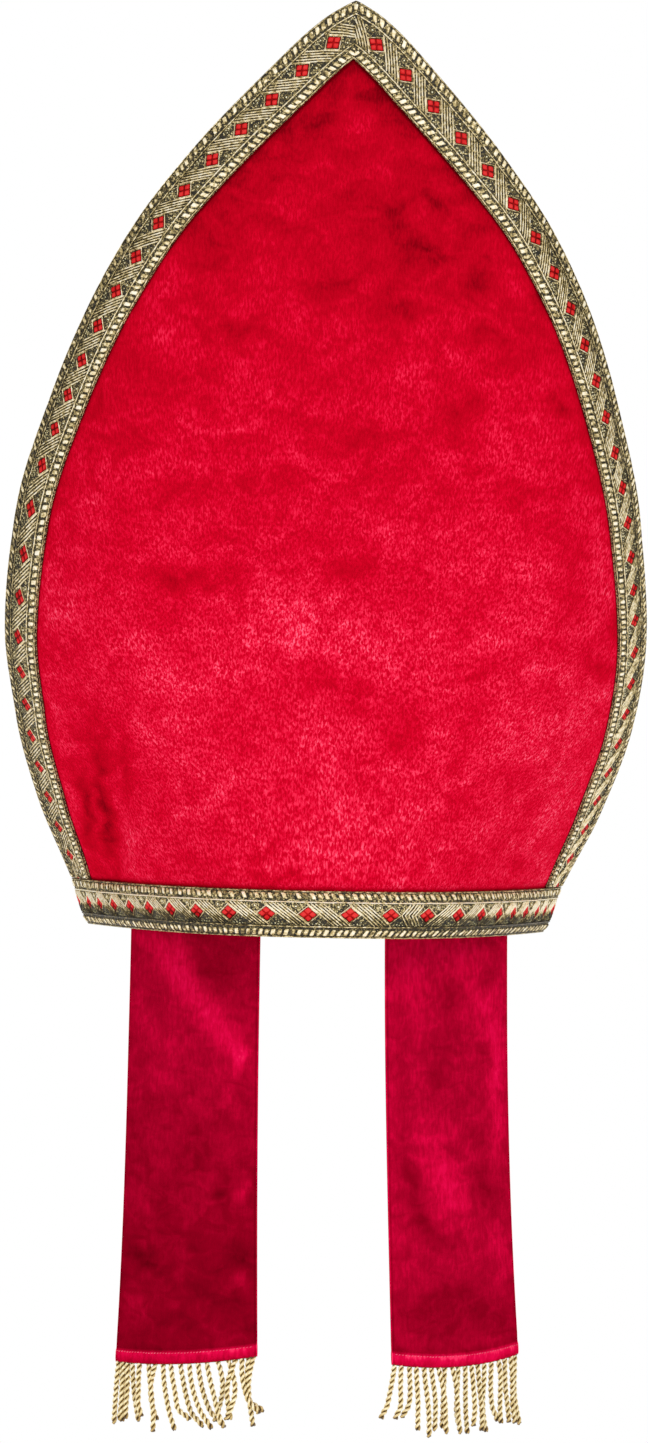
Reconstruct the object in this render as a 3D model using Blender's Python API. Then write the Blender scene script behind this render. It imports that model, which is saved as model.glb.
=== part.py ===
"""Bishop's mitre: two soft velvet horns on a braided rim, with two fringed lappets.

Metres, +Z up. The origin is the centre of the head opening, in the plane of the
rim's lower edge. The two horns are mirror images in the plane Y = 0. The lappets
are sewn inside the rim on the -Y side, which is the wearer's back.
"""

import math
import random
from typing import NamedTuple

import bmesh
import bpy
import numpy as np

MM = 0.001

# Walls, and the air left between one piece and the next
HORN_WALL = 2.5 * MM
GUSSET_WALL = 1.2 * MM
LAPPET_WALL = 2.0 * MM
BRAID_WALL = 1.2 * MM
GAP = 0.3 * MM
SOFT_GAP = 0.8 * MM

# Braid
BRAID_WIDTH = 18.6 * MM
RIM_HEIGHT = 18.0 * MM
RIM_TOP = RIM_HEIGHT + GAP


class Section(NamedTuple):
    """A level section of a horn, in millimetres."""

    height: float  # above the rim's lower edge
    half_width: float  # from the middle line to the edge
    front: float  # depth of the middle line from the plane Y = 0
    edge: float  # depth of the edge from the plane Y = 0
    power: float  # 2 is a parabola across, and more is flatter in the middle
    lean: float  # how far the middle line stands towards +X


HORN = (
    Section(0, 90.5, 102, 1.2, 2.5, 0),
    Section(18, 96.5, 104.5, 1.2, 2.5, 0),
    Section(50, 110, 111.5, 27, 2.6, 0),
    Section(83, 119, 121, 54, 3.4, 0),
    Section(114, 122.3, 132, 78, 4, -1),
    Section(160, 117.5, 150, 108, 4.4, -2),
    Section(204, 105, 162, 131, 4.5, -1.2),
    Section(234, 93.5, 166, 143, 4.4, -0.4),
    Section(263, 78.5, 166.5, 151, 4.2, 0.2),
    Section(293, 57, 163, 155.5, 3.5, 0.8),
    Section(322, 31.5, 160, 158, 3, 1.8),
    Section(342, 11.3, 158.8, 158.5, 3, 2.4),
    Section(349, 0, 158.5, 158.5, 3, 2.6),
)
APEX = HORN[-1].height * MM

# Mesh of a horn: rows up its edge, and cells across its middle and its braid
ROWS_BELOW_MITRE = 27
ROWS_AT_MITRE = 4
MIDDLE_CELLS = 12
BRAID_CELLS = 2
MARCH_STEPS = 8
NORMAL_STEP = 0.4 * MM

# Gusset: one cloth between the horns, creased along an arch over the crown
ARCH_HALF_WIDTH = 88.0 * MM
ARCH_FOOT = 24.0 * MM
ARCH_RISE = 96.0 * MM
GUSSET_INSET = 5.0 * MM
GUSSET_START = 26.0 * MM
GUSSET_HUG = 2.6
GUSSET_ROWS = 22
GUSSET_CELLS = 7

# Lappets, and the fringe below each hem
LAPPET_WIDTH = 62.0 * MM
LAPPET_TOP = 14.0 * MM
LAPPET_TURN_TOP = math.radians(36)
LAPPET_BEND = math.radians(30)
LAPPET_HEM = 4.0 * MM
HEM_WALL = 3.0 * MM
LAPPET_CELLS = 6
LAPPET_LEVELS = (0, 0.04, 0.08, 0.15, 0.25, 0.36, 0.48, 0.6, 0.72, 0.84, 0.93)


class Lappet(NamedTuple):
    """How one lappet hangs, in millimetres and degrees."""

    name: str
    side: int  # -1 towards -X, 1 towards +X
    middle: float  # from the plane X = 0 to its middle at the rim
    swing: float  # how far its lower end hangs further out
    hem: float  # height of the hem's lower edge at its middle
    slant: float  # how much lower the hem's outer end is than its inner end
    sag: float  # how much lower its middle is than its ends
    turn: float  # how far the lower end is turned away from the XZ plane


LAPPETS = (
    Lappet("left", -1, 51, 0, -168.4, 6, 1.4, 26),
    Lappet("right", 1, 51.5, 6.5, -168, -1, 2.5, 33),
)

FRINGE_HEAD = 1.8 * MM
FRINGE_DROP = 27.5 * MM
FRINGE_WALL = 1.8 * MM
FRINGE_LOCKS = 16
FRINGE_LEVELS = 4
FRINGE_FLARE = 3.6 * MM
FRINGE_STRAY = 0.7 * MM
FRINGE_SEED = 7


class Curve:
    """A smooth curve through a table's rows, which never overshoots them."""

    def __init__(self, at, values):
        self.at, self.values = np.array(at, float), np.array(values, float)
        run, rise = np.diff(self.at), np.diff(self.values)
        slope = rise / run
        self.slopes = np.zeros(len(at))
        for i in range(1, len(slope)):
            before, after = slope[i - 1], slope[i]
            if before * after > 0:
                self.slopes[i] = 2 * before * after / (before + after)
        self.slopes[0] = 1.5 * slope[0] - 0.5 * self.slopes[1]
        self.slopes[-1] = 1.5 * slope[-1] - 0.5 * self.slopes[-2]

    def __call__(self, where):
        i = int(np.clip(np.searchsorted(self.at, where) - 1, 0, len(self.at) - 2))
        run = self.at[i + 1] - self.at[i]
        t = float(np.clip((where - self.at[i]) / run, 0, 1))
        start, end = self.values[i], self.values[i + 1]
        leave, arrive = self.slopes[i] * run, self.slopes[i + 1] * run
        bend = (2 * t**3 - 3 * t**2) * (start - end) + start
        return bend + (t**3 - 2 * t**2 + t) * leave + (t**3 - t**2) * arrive


def column(name, rows=HORN, unit=MM):
    """One column of the horn's table as a curve over height."""
    return Curve([row.height * MM for row in rows], [getattr(row, name) * unit for row in rows])


half_width = column("half_width")
front_depth = column("front")
slanted_edge = column("edge", HORN[1:])
section_power = column("power", unit=1)
lean = column("lean")
SEAM_DEPTH = HORN[0].edge * MM


def depth(x, z):
    """Depth of a horn's outer face from the plane Y = 0, before its tip leans."""
    edge = SEAM_DEPTH if z <= RIM_HEIGHT else slanted_edge(z)
    front = front_depth(z)
    across = abs(x) / max(half_width(z), NORMAL_STEP)
    return front - (front - edge) * across ** section_power(z)


def face_point(x, z):
    return np.array((x, -depth(x, z), z))


def face_normal(x, z):
    """Outward normal of the -Y horn, kept level behind the rim band."""
    across = (depth(x + NORMAL_STEP, z) - depth(x - NORMAL_STEP, z)) / (2 * NORMAL_STEP)
    up = 0.0
    if z > RIM_TOP:
        up = (depth(x, z + NORMAL_STEP) - depth(x, z - NORMAL_STEP)) / (2 * NORMAL_STEP)
    normal = np.array((-across, -1.0, -up))
    return normal / np.linalg.norm(normal)


def on_face(x, z):
    return face_point(x, z), face_normal(x, z)


def edge_point(z):
    return face_point(-half_width(z), z)


def unit_vector(vector):
    return vector / np.linalg.norm(vector)


def braid_row(z):
    """Points across the braid from the horn's left edge, square to it, as far as the middle line."""
    step = NORMAL_STEP
    start = edge_point(z)
    along = unit_vector(edge_point(min(z + step, APEX)) - edge_point(max(z - step, RIM_HEIGHT)))
    heading = np.cross(along, face_normal(start[0], z))
    heading = unit_vector(heading if heading[0] > 0 else -heading)
    # The braid's lower end is cut level, along the rim band
    level = unit_vector(face_point(start[0] + step, z) - start)
    squared = min(1.0, (z - RIM_TOP) / (BRAID_WIDTH * 1.5))
    heading = unit_vector(level * (1 - squared) + heading * squared)
    path = [start]
    for _ in range(MARCH_STEPS):
        moved = path[-1] + heading * BRAID_WIDTH / MARCH_STEPS
        if moved[0] >= 0:
            share = -path[-1][0] / (moved[0] - path[-1][0])
            moved = path[-1] + (moved - path[-1]) * share
        moved = face_point(min(moved[0], 0.0), min(moved[2], APEX))
        path.append(moved)
        if moved[0] >= -1e-9:
            break
        normal = face_normal(moved[0], moved[2])
        heading = unit_vector(heading - normal * heading.dot(normal))
    path = np.array(path)
    run = np.concatenate([[0], np.cumsum(np.linalg.norm(np.diff(path, axis=0), axis=1))])
    cuts = np.linspace(0, run[-1], BRAID_CELLS + 1)
    return [(np.interp(cut, run, path[:, 0]), np.interp(cut, run, path[:, 2])) for cut in cuts]


def edge_heights():
    """Heights of the mesh's rows on the horn's edge, and the row where the braids meet."""
    fine = np.linspace(RIM_TOP, APEX, 400)
    points = np.array([edge_point(z) for z in fine])
    run = np.concatenate([[0], np.cumsum(np.linalg.norm(np.diff(points, axis=0), axis=1))])
    low, high = RIM_TOP, APEX
    for _ in range(30):
        middle = (low + high) / 2
        if braid_row(middle)[-1][0] >= -1e-9:
            high = middle
        else:
            low = middle
    mitre = np.interp(high, fine, run)
    below = np.linspace(0, mitre, ROWS_BELOW_MITRE + 1)
    above = np.linspace(mitre, run[-1], ROWS_AT_MITRE + 1)[1:]
    heights = [float(np.interp(r, run, fine)) for r in (*below, *above)]
    heights[ROWS_BELOW_MITRE] = high
    return heights


class Sheet:
    """Triangles over points that carry an outward normal, welded where patches meet."""

    def __init__(self):
        self.points, self.normals, self.triangles, self.known = [], [], [], {}

    def index(self, point, normal):
        key = tuple(np.round(np.asarray(point) / (MM * 1e-3)).astype(int))
        if key not in self.known:
            self.known[key] = len(self.points)
            self.points.append(point)
            self.normals.append(normal)
        return self.known[key]

    def grid(self, rows):
        """Two triangles for each cell between rows of (point, normal) pairs."""
        table = [[self.index(*pair) for pair in row] for row in rows]
        for low, high in zip(table, table[1:]):
            for a, b, c, d in zip(low, low[1:], high[1:], high):
                for triangle in ((a, b, c), (a, c, d)):
                    if len(set(triangle)) == 3:
                        self.triangles.append(triangle)


def thickened(sheet, outside, inside):
    """A closed solid between two offsets of a sheet, each one number or one per point."""
    points, normals = np.array(sheet.points), np.array(sheet.normals)
    count = len(points)
    outer = points + normals * np.reshape(outside, (-1, 1))
    inner = points + normals * np.reshape(inside, (-1, 1))
    faces = list(sheet.triangles)
    faces += [(a + count, c + count, b + count) for a, b, c in sheet.triangles]
    sides = {(t[i], t[i - 2]) for t in sheet.triangles for i in range(3)}
    for a, b in sorted(sides):
        if (b, a) not in sides:
            faces += [(b, a, a + count), (b, a + count, b + count)]
    return np.concatenate([outer, inner]), faces


def leaned(points):
    """The points moved towards +X as the horn's middle line leans."""
    moved = np.array(points, float)
    moved[:, 0] += [lean(z) for z in moved[:, 2]]
    return moved


def add_object(name, points, faces, colour, roughness, mirrored=False):
    """A named object with its own material, mirrored in the plane Y = 0 if asked."""
    if mirrored:
        points = np.array(points) * (1, -1, 1)
    mesh = bpy.data.meshes.new(name)
    mesh.from_pydata([tuple(p) for p in points], [], [tuple(f) for f in faces])
    shape = bmesh.new()
    shape.from_mesh(mesh)
    bmesh.ops.recalc_face_normals(shape, faces=shape.faces)
    shape.to_mesh(mesh)
    shape.free()
    mesh.shade_smooth()
    mesh.set_sharp_from_angle(angle=math.radians(50))
    material = bpy.data.materials.new(name)
    material.use_nodes = True
    shader = material.node_tree.nodes["Principled BSDF"]
    shader.inputs["Base Color"].default_value = (*colour, 1)
    shader.inputs["Roughness"].default_value = roughness
    shader.inputs["Metallic"].default_value = 0
    mesh.materials.append(material)
    placed = bpy.data.objects.new(name, mesh)
    bpy.context.scene.collection.objects.link(placed)
    return placed


VELVET = (0.62, 0.004, 0.03)
BRAID_GOLD = (0.36, 0.3, 0.12)
FRINGE_GOLD = (0.75, 0.58, 0.25)


def horn_rows():
    """Rows across a whole horn: the braid's points on the left, the middle, and the right."""
    rows = []
    for height in edge_heights():
        left = braid_row(height)
        right = [(-x, z) for x, z in reversed(left)]
        rows.append((left, right))
    return rows


def middle_row(left, right):
    """Evenly spaced places between the braid's two inner edges."""
    (start, z), (end, _) = left[-1], right[0]
    return [(start + (end - start) * i / MIDDLE_CELLS, z) for i in range(MIDDLE_CELLS + 1)]


def rim_row(z, first):
    """The first row's places brought down to a height behind the rim band."""
    scale = half_width(z) / half_width(RIM_TOP)
    return [(x * scale, z) for x, _ in first]


def whole_row(left, right):
    return left + middle_row(left, right)[1:-1] + right


def make_horn(name, rows, mirrored):
    first = whole_row(*rows[0])
    sheet = Sheet()
    rim = [rim_row(z, first) for z in (0.0, RIM_HEIGHT / 2)] + [first]
    sheet.grid([[on_face(*place) for place in row] for row in rim])
    sheet.grid([[on_face(*place) for place in left] for left, _ in rows])
    sheet.grid([[on_face(*place) for place in right] for _, right in rows])
    below = rows[: ROWS_BELOW_MITRE + 1]
    sheet.grid([[on_face(*place) for place in middle_row(*row)] for row in below])
    points, faces = thickened(sheet, 0.0, -HORN_WALL)
    add_object(name, leaned(points), faces, VELVET, 0.9, mirrored)


def make_edge_braid(name, rows, mirrored):
    """The braid up one edge of a horn, mitred at the tip and down the other edge."""
    sheet = Sheet()
    sheet.grid([[on_face(*place) for place in left] for left, _ in rows])
    sheet.grid([[on_face(*place) for place in right] for _, right in rows])
    points, faces = thickened(sheet, GAP + BRAID_WALL, GAP)
    add_object(name, leaned(points), faces, BRAID_GOLD, 0.45, mirrored)


def make_rim_band(rows):
    """The level braid round both horns."""
    first = whole_row(*rows[0])
    loop_rows = []
    for z in (0.0, RIM_HEIGHT / 2, RIM_HEIGHT):
        back = [on_face(*place) for place in rim_row(z, first)]
        mirror = np.array((1, -1, 1))
        front = [(point * mirror, normal * mirror) for point, normal in reversed(back)]
        loop_rows.append(back + front + back[:1])
    sheet = Sheet()
    sheet.grid(loop_rows)
    points, faces = thickened(sheet, GAP + BRAID_WALL, GAP)
    add_object("rim_band", points, faces, BRAID_GOLD, 0.45)


def gusset_outline():
    """Places just inside a horn's edges, from the left foot over the tip to the right foot."""
    places = []
    for z in np.linspace(GUSSET_START, APEX, 300):
        here, ahead = edge_point(z), edge_point(min(z + NORMAL_STEP, APEX + NORMAL_STEP))
        run = ahead - here
        inward = np.array((run[2], -run[0])) / max(math.hypot(run[0], run[2]), 1e-9)
        place = np.array((here[0], here[2])) + inward * GUSSET_INSET
        if place[0] >= 0:
            break
        places.append(place)
    places.append(np.array((0.0, places[-1][1] - places[-1][0] * 0.2)))
    left = np.array(places)
    whole = np.concatenate([left, left[-2::-1] * (-1, 1)])
    run = np.concatenate([[0], np.cumsum(np.linalg.norm(np.diff(whole, axis=0), axis=1))])
    cuts = np.linspace(0, run[-1], GUSSET_ROWS + 1)
    return [(np.interp(cut, run, whole[:, 0]), np.interp(cut, run, whole[:, 1])) for cut in cuts]


def inner_depth(x, z, clearance):
    """Depth of the horn's inner face, less a clearance square to it."""
    return depth(x, z) - (HORN_WALL + clearance) / abs(face_normal(x, z)[1])


def make_gusset():
    """The cloth that closes the crown, creased over the arch and hugging both horns."""
    rows = []
    for i, (edge_x, edge_z) in enumerate(gusset_outline()):
        angle = math.pi * i / GUSSET_ROWS
        arch_x = -ARCH_HALF_WIDTH * math.cos(angle)
        arch_z = ARCH_FOOT + ARCH_RISE * math.sin(angle)
        row = []
        for j in range(-GUSSET_CELLS, GUSSET_CELLS + 1):
            share = abs(j) / GUSSET_CELLS
            x, z = arch_x + (edge_x - arch_x) * share, arch_z + (edge_z - arch_z) * share
            hug = 1 - (1 - share) ** GUSSET_HUG
            row.append(np.array((x, math.copysign(hug * inner_depth(x, z, SOFT_GAP), j), z)))
        rows.append(row)
    grid = np.array(rows)
    across = np.gradient(grid, axis=1)
    along = np.gradient(grid, axis=0)
    normals = np.cross(along, across)
    normals /= np.linalg.norm(normals, axis=2, keepdims=True)
    sheet = Sheet()
    sheet.grid([list(zip(points, lines)) for points, lines in zip(grid, normals)])
    points, faces = thickened(sheet, GUSSET_WALL, 0.0)
    add_object("gusset", leaned(points), faces, VELVET, 0.9)


def lappet_turn(lappet, share):
    """How far a lappet is turned at a share of its length, easing from top to hem."""
    ease = share**3
    return LAPPET_TURN_TOP + (math.radians(lappet.turn) - LAPPET_TURN_TOP) * ease


def lappet_plan(lappet, across, share):
    """Distance out from the lappet's middle, and depth in front of it, on its curved section."""
    turn, bend = lappet_turn(lappet, share), LAPPET_BEND
    start, end = turn, turn + bend * across / LAPPET_WIDTH
    radius = LAPPET_WIDTH / bend
    return radius * (math.sin(end) - math.sin(start)), radius * (math.cos(end) - math.cos(start))


def lappet_depth(lappet):
    """Depth of the lappet's middle line: where it just clears the horn's inner face at the rim."""
    clearance = SOFT_GAP + LAPPET_WALL / 2
    room = []
    for across in np.linspace(-0.5, 0.5, 13) * LAPPET_WIDTH:
        out, ahead = lappet_plan(lappet, across, 0.0)
        room.append(inner_depth(lappet.middle * MM + out, 0.0, clearance) - ahead)
    return min(room)


def lappet_point(lappet, middle_depth, across, share, drop=0.0):
    """A point of the lappet's middle surface, or drop below its hem where share is 1."""
    out, ahead = lappet_plan(lappet, across, share)
    side = 2 * across / LAPPET_WIDTH
    hem = (lappet.hem - lappet.slant * side / 2 + lappet.sag * side * side) * MM
    x = lappet.side * (lappet.middle * MM + lappet.swing * MM * share**1.5 + out)
    return np.array((x, -(middle_depth + ahead), LAPPET_TOP + (hem - LAPPET_TOP) * share - drop))


def lappet_normal(lappet, across, share):
    """Outward, level normal of the lappet's middle surface."""
    angle = lappet_turn(lappet, share) + LAPPET_BEND * across / LAPPET_WIDTH
    return np.array((lappet.side * math.sin(angle), -math.cos(angle), 0.0))


def make_lappet(lappet, middle_depth):
    length = LAPPET_TOP - lappet.hem * MM
    hem_start = 1 - LAPPET_HEM / length
    shares = (*LAPPET_LEVELS, hem_start - 0.004, hem_start, (1 + hem_start) / 2, 1)
    places = np.linspace(-0.5, 0.5, LAPPET_CELLS + 1) * LAPPET_WIDTH
    sheet = Sheet()
    rows, walls = [], {}
    for share in shares:
        row = []
        for across in places:
            point = lappet_point(lappet, middle_depth, across, share)
            row.append((point, lappet_normal(lappet, across, share)))
            walls[sheet.index(*row[-1])] = HEM_WALL if hem_start <= share < 1 else LAPPET_WALL
        rows.append(row)
    sheet.grid(rows)
    half = np.array([walls[i] for i in range(len(sheet.points))]) / 2
    points, faces = thickened(sheet, half, -half)
    add_object(f"{lappet.name}_lappet", points, faces, VELVET, 0.9)


def make_fringe(lappet, middle_depth):
    """A header strip below the hem with tapered locks grown from every second cell of it."""
    stray = random.Random(FRINGE_SEED + lappet.side)
    cells = 2 * FRINGE_LOCKS - 1
    marks = np.linspace(-0.5, 0.5, cells + 1) * LAPPET_WIDTH * 0.98
    points, faces = [], []
    for level in (GAP, GAP + FRINGE_HEAD):
        for sign in (1, -1):
            for across in marks:
                middle = lappet_point(lappet, middle_depth, across, 1.0, level)
                points.append(middle + lappet_normal(lappet, across, 1.0) * sign * FRINGE_WALL / 2)
    count = cells + 1
    corner = {(level, side): (2 * level + side) * count for level in (0, 1) for side in (0, 1)}
    top_out, top_in, low_out, low_in = (corner[key] for key in ((0, 0), (0, 1), (1, 0), (1, 1)))
    for i in range(cells):
        j = i + 1
        faces.append((top_out + i, top_out + j, top_in + j, top_in + i))
        faces.append((top_out + i, low_out + i, low_out + j, top_out + j))
        faces.append((top_in + i, top_in + j, low_in + j, low_in + i))
        ring = [low_out + i, low_out + j, low_in + j, low_in + i]
        if i % 2:
            faces.append(tuple(ring))
            continue
        side = marks[i] + marks[j]
        flare = FRINGE_FLARE * side / LAPPET_WIDTH
        drift = np.array((lappet.side * flare + stray.uniform(-1, 1) * FRINGE_STRAY,
                          stray.uniform(-1, 1) * FRINGE_STRAY, 0.0))
        drop = FRINGE_DROP * stray.uniform(0.85, 1.0) - FRINGE_HEAD
        base = np.array([points[k] for k in ring])
        for step in range(1, FRINGE_LEVELS + 1):
            share = step / FRINGE_LEVELS
            narrow = 1 - 0.25 * share
            centre = base.mean(axis=0)
            moved = centre + (base - centre) * narrow + drift * share - (0, 0, drop * share)
            new = list(range(len(points), len(points) + 4))
            points.extend(moved)
            faces += [(ring[k], ring[k - 3], new[k - 3], new[k]) for k in range(4)]
            ring = new
        faces.append(tuple(ring))
    for i in (0, cells):
        faces.append((top_out + i, top_in + i, low_in + i, low_out + i))
    add_object(f"{lappet.name}_fringe", points, faces, FRINGE_GOLD, 0.4)


def main():
    for thing in list(bpy.data.objects):
        bpy.data.objects.remove(thing)
    rows = horn_rows()
    for side, mirrored in (("back", False), ("front", True)):
        make_horn(f"{side}_horn", rows, mirrored)
        make_edge_braid(f"{side}_edge_braid", rows, mirrored)
    make_rim_band(rows)
    make_gusset()
    for lappet in LAPPETS:
        middle_depth = lappet_depth(lappet)
        make_lappet(lappet, middle_depth)
        make_fringe(lappet, middle_depth)


main()
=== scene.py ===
"""Dresses the bishop's mitre: velvet horns, woven braid, gusset, lappets and fringe.

Metres, +Z up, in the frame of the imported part. The camera looks at the wearer's back,
along +Y, at the height of the rim's braid.
"""

import logging
import math
import random
from dataclasses import dataclass, field
from enum import Enum
from functools import cache, partial
from itertools import starmap
from typing import Any, Callable, Mapping, NamedTuple, Sequence

import bmesh
import bpy
import numpy as np
from mathutils import Matrix, Vector


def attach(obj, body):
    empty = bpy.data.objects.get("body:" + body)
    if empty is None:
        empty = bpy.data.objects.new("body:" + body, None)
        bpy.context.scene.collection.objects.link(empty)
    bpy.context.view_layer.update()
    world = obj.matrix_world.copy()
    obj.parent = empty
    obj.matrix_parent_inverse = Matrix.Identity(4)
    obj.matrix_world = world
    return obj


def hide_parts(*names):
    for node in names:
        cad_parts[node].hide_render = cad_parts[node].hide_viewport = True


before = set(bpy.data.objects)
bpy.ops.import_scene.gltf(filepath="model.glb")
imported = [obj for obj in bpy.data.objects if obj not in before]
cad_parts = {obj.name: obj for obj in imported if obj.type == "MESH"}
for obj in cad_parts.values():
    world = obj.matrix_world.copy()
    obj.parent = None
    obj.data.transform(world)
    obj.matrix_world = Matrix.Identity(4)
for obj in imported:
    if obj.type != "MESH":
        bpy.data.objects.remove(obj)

log = logging.getLogger("mitre")

MM = 0.001
Array = np.ndarray
Thing = bpy.types.Object
Tree = bpy.types.NodeTree
Wire = Callable[..., Any]  # adds a node to one tree, as add_node does
Ramp = Sequence[tuple[float, str]]  # places and hex colours
Table = Sequence[tuple[float, float]]  # places and values


# ---------------- nodes and colours


def linear(code: str) -> tuple[float, ...]:
    """Turn an sRGB hex colour into linear light.

    Args:
        code: six hex digits after a hash, such as "#C8242E".

    Returns:
        Red, green, blue and an alpha of 1.
    """
    parts = [int(code[i : i + 2], 16) / 255 for i in (1, 3, 5)]
    return (*(p / 12.92 if p <= 0.04045 else ((p + 0.055) / 1.055) ** 2.4 for p in parts), 1.0)


def feed(node: bpy.types.Node, inputs: Mapping[Any, Any] | Sequence[Any]) -> None:
    """Set a node's inputs, and link those whose value is a socket.

    Args:
        node: the node.
        inputs: values, sockets or lists of sockets, by input or in the inputs' order.
    """
    for key, value in inputs.items() if isinstance(inputs, Mapping) else enumerate(inputs):
        for source in value if isinstance(value, list) else [value]:
            if isinstance(source, bpy.types.NodeSocket):
                node.id_data.links.new(source, node.inputs[key])
            else:
                node.inputs[key].default_value = source


def add_node(tree: Tree, kind: str, inputs: Mapping[Any, Any] | Sequence[Any] = (), out: int | str | None = 0,
             ramp: Ramp = (), **settings: Any) -> Any:
    """Add a node with its settings, its inputs and the links into it.

    Args:
        tree: the node tree that gets the node.
        kind: its type's name, where ShaderNode may be left out, and its operation if it has one.
        inputs: as feed takes them.
        out: the output to give, or None for all of them.
        ramp: stops of a colour ramp.
        **settings: the node's own properties.

    Returns:
        The output's socket, or the node's outputs.
    """
    name, _, operation = kind.partition(" ")
    node = tree.nodes.new(name if "Node" in name else f"ShaderNode{name}")
    if operation:
        node.operation = operation
    for key, value in settings.items():
        setattr(node, key, value)
    if ramp:
        stops = node.color_ramp.elements
        while len(stops) < len(ramp):
            stops.new(1.0)
        for stop, (place, code) in zip(stops, ramp):
            stop.position, stop.color = place, linear(code)
    feed(node, inputs)
    return node.outputs if out is None else node.outputs[out]


# ---------------- finishes


@dataclass(frozen=True)
class Finish:
    """A material whose colours lie along a ramp, moved by a pattern of real size."""

    name: str
    tones: Ramp

    def pattern(self, node: Wire, place: bpy.types.NodeSocket) -> dict[str, Any]:
        """Wire the pattern.

        Args:
            node: adds a node to the material's tree.
            place: Object coordinates.

        Returns:
            What feeds the shader's inputs.
        """
        raise NotImplementedError

    def material(self) -> bpy.types.Material:
        """Build the material around its pattern.

        Returns:
            The material.
        """
        made = bpy.data.materials.new(self.name)
        made.use_nodes = True
        node = partial(add_node, made.node_tree)
        feed(made.node_tree.nodes["Principled BSDF"], self.pattern(node, node("TexCoord", out="Object")))
        return made


@dataclass(frozen=True)
class Velvet(Finish):
    """Cotton velvet: cut pile that is dark against the nap and bright along it.

    The piece's shade attribute gives the tone, and the patterns move it up and down.
    """

    patch_mm: float = 34.0  # where a hand brushed the pile
    patches: float = 0.42
    cloud_mm: float = 9.0  # tufts that lean together
    clouds: float = 0.5
    nap_mm: float = 0.66  # worm-like rows of nap; single threads are too fine to show
    nap_length: float = 3.4
    nap: float = 0.48
    relief_mm: float = 0.4

    def pattern(self, node: Wire, place: bpy.types.NodeSocket) -> dict[str, Any]:
        """Wire the patches, the tufts and the rows of nap.

        Args:
            node: adds a node to the material's tree.
            place: Object coordinates.

        Returns:
            What feeds the shader's inputs.
        """
        patch, cloud, nap = (
            node("TexNoise", {"Vector": node("Mapping", {"Vector": place, "Scale": stretch}),
                              "Scale": 1000 / size, "Detail": detail, "Roughness": rough, "Distortion": bent})
            for size, stretch, detail, rough, bent in (
                (self.patch_mm, (1, 1, 1), 2, 0.5, 0.5),
                (self.cloud_mm, (0.75, 0.75, 1), 2, 0.56, 0.9),
                (self.nap_mm, (1, 1, 1 / self.nap_length), 1, 0.4, 0.6),
            )
        )
        tone = node("Attribute", out="Fac", attribute_name="shade")
        for cover, weight in ((patch, self.patches), (cloud, self.clouds)):
            tone = node("Math MULTIPLY_ADD", (node("Math SUBTRACT", (cover, 0.5)), weight, tone))
        # Where the pile lies away from the light it looks smooth, so the rows fade there
        rows = node("MapRange", (nap, 0.36, 0.66, -0.5, 0.5))
        rows = node("Math MULTIPLY", (rows, node("MapRange", (tone, 0.3, 0.64, 0.22, 1))))
        tone = node("Math MULTIPLY_ADD", (rows, self.nap, tone))
        return {
            "Base Color": node("ValToRGB", [tone], ramp=self.tones),
            "Normal": node("Bump", {"Strength": 0.5, "Distance": self.relief_mm * MM, "Height": nap}),
            "Roughness": 1, "Specular IOR Level": 0,
            "Sheen Weight": 0.25, "Sheen Roughness": 0.35, "Sheen Tint": linear("#FF2848"),
        }


@dataclass(frozen=True)
class Thread(Finish):
    """Thread with painted shade where it dips into the cloth and a painted highlight along its crest."""

    low_mm: float = -0.1  # the crest attribute at the first tone
    high_mm: float = 0.6  # and at the last one
    grain_mm: float = 1.1
    grain: float = 0.9
    metal: float = 0.0
    roughness: float = 0.45
    gloss: float = 0.4
    fibre_mm: float = 0.35

    def pattern(self, node: Wire, place: bpy.types.NodeSocket) -> dict[str, Any]:
        """Wire the crest's painted shade and highlight, its grain and its fibres.

        Args:
            node: adds a node to the material's tree.
            place: Object coordinates.

        Returns:
            What feeds the shader's inputs.
        """
        crest = node("Attribute", out="Fac", attribute_name="crest")
        crest = node("MapRange", (crest, self.low_mm, self.high_mm, 0, 1))
        grain = {"Vector": place, "Scale": 1000 / self.grain_mm, "Detail": 2, "Roughness": 0.6}
        grain = node("TexNoise", grain)
        tone = node("Math MULTIPLY_ADD", (node("Math SUBTRACT", (grain, 0.5)), self.grain, crest))
        fine = node("TexNoise", {"Vector": place, "Scale": 1000 / self.fibre_mm, "Detail": 1})
        return {
            "Base Color": node("ValToRGB", [tone], ramp=self.tones),
            "Normal": node("Bump", {"Strength": 0.4, "Distance": 0.15 * MM, "Height": fine}),
            "Metallic": self.metal, "Roughness": self.roughness, "Specular IOR Level": self.gloss,
        }


@dataclass(frozen=True)
class WovenGround(Finish):
    """The braid's ground: dark olive weft with flecks of the gold warp."""

    thread_mm: float = 0.48

    def pattern(self, node: Wire, place: bpy.types.NodeSocket) -> dict[str, Any]:
        """Wire the flecks.

        Args:
            node: adds a node to the material's tree.
            place: Object coordinates.

        Returns:
            What feeds the shader's inputs.
        """
        weave = {"Vector": place, "Scale": 1000 / self.thread_mm, "Randomness": 0.8}
        weave = node("TexVoronoi", weave, None)
        shade = node("Attribute", out="Fac", attribute_name="shade")
        pick = node("Math ADD", (node("SeparateXYZ", [weave["Color"]]), shade))
        return {
            "Base Color": node("ValToRGB", [pick], ramp=self.tones),
            "Normal": node("Bump", {"Strength": 0.6, "Distance": 0.2 * MM, "Height": weave["Distance"]}),
            "Roughness": 0.6, "Metallic": 0.2,
        }


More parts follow.
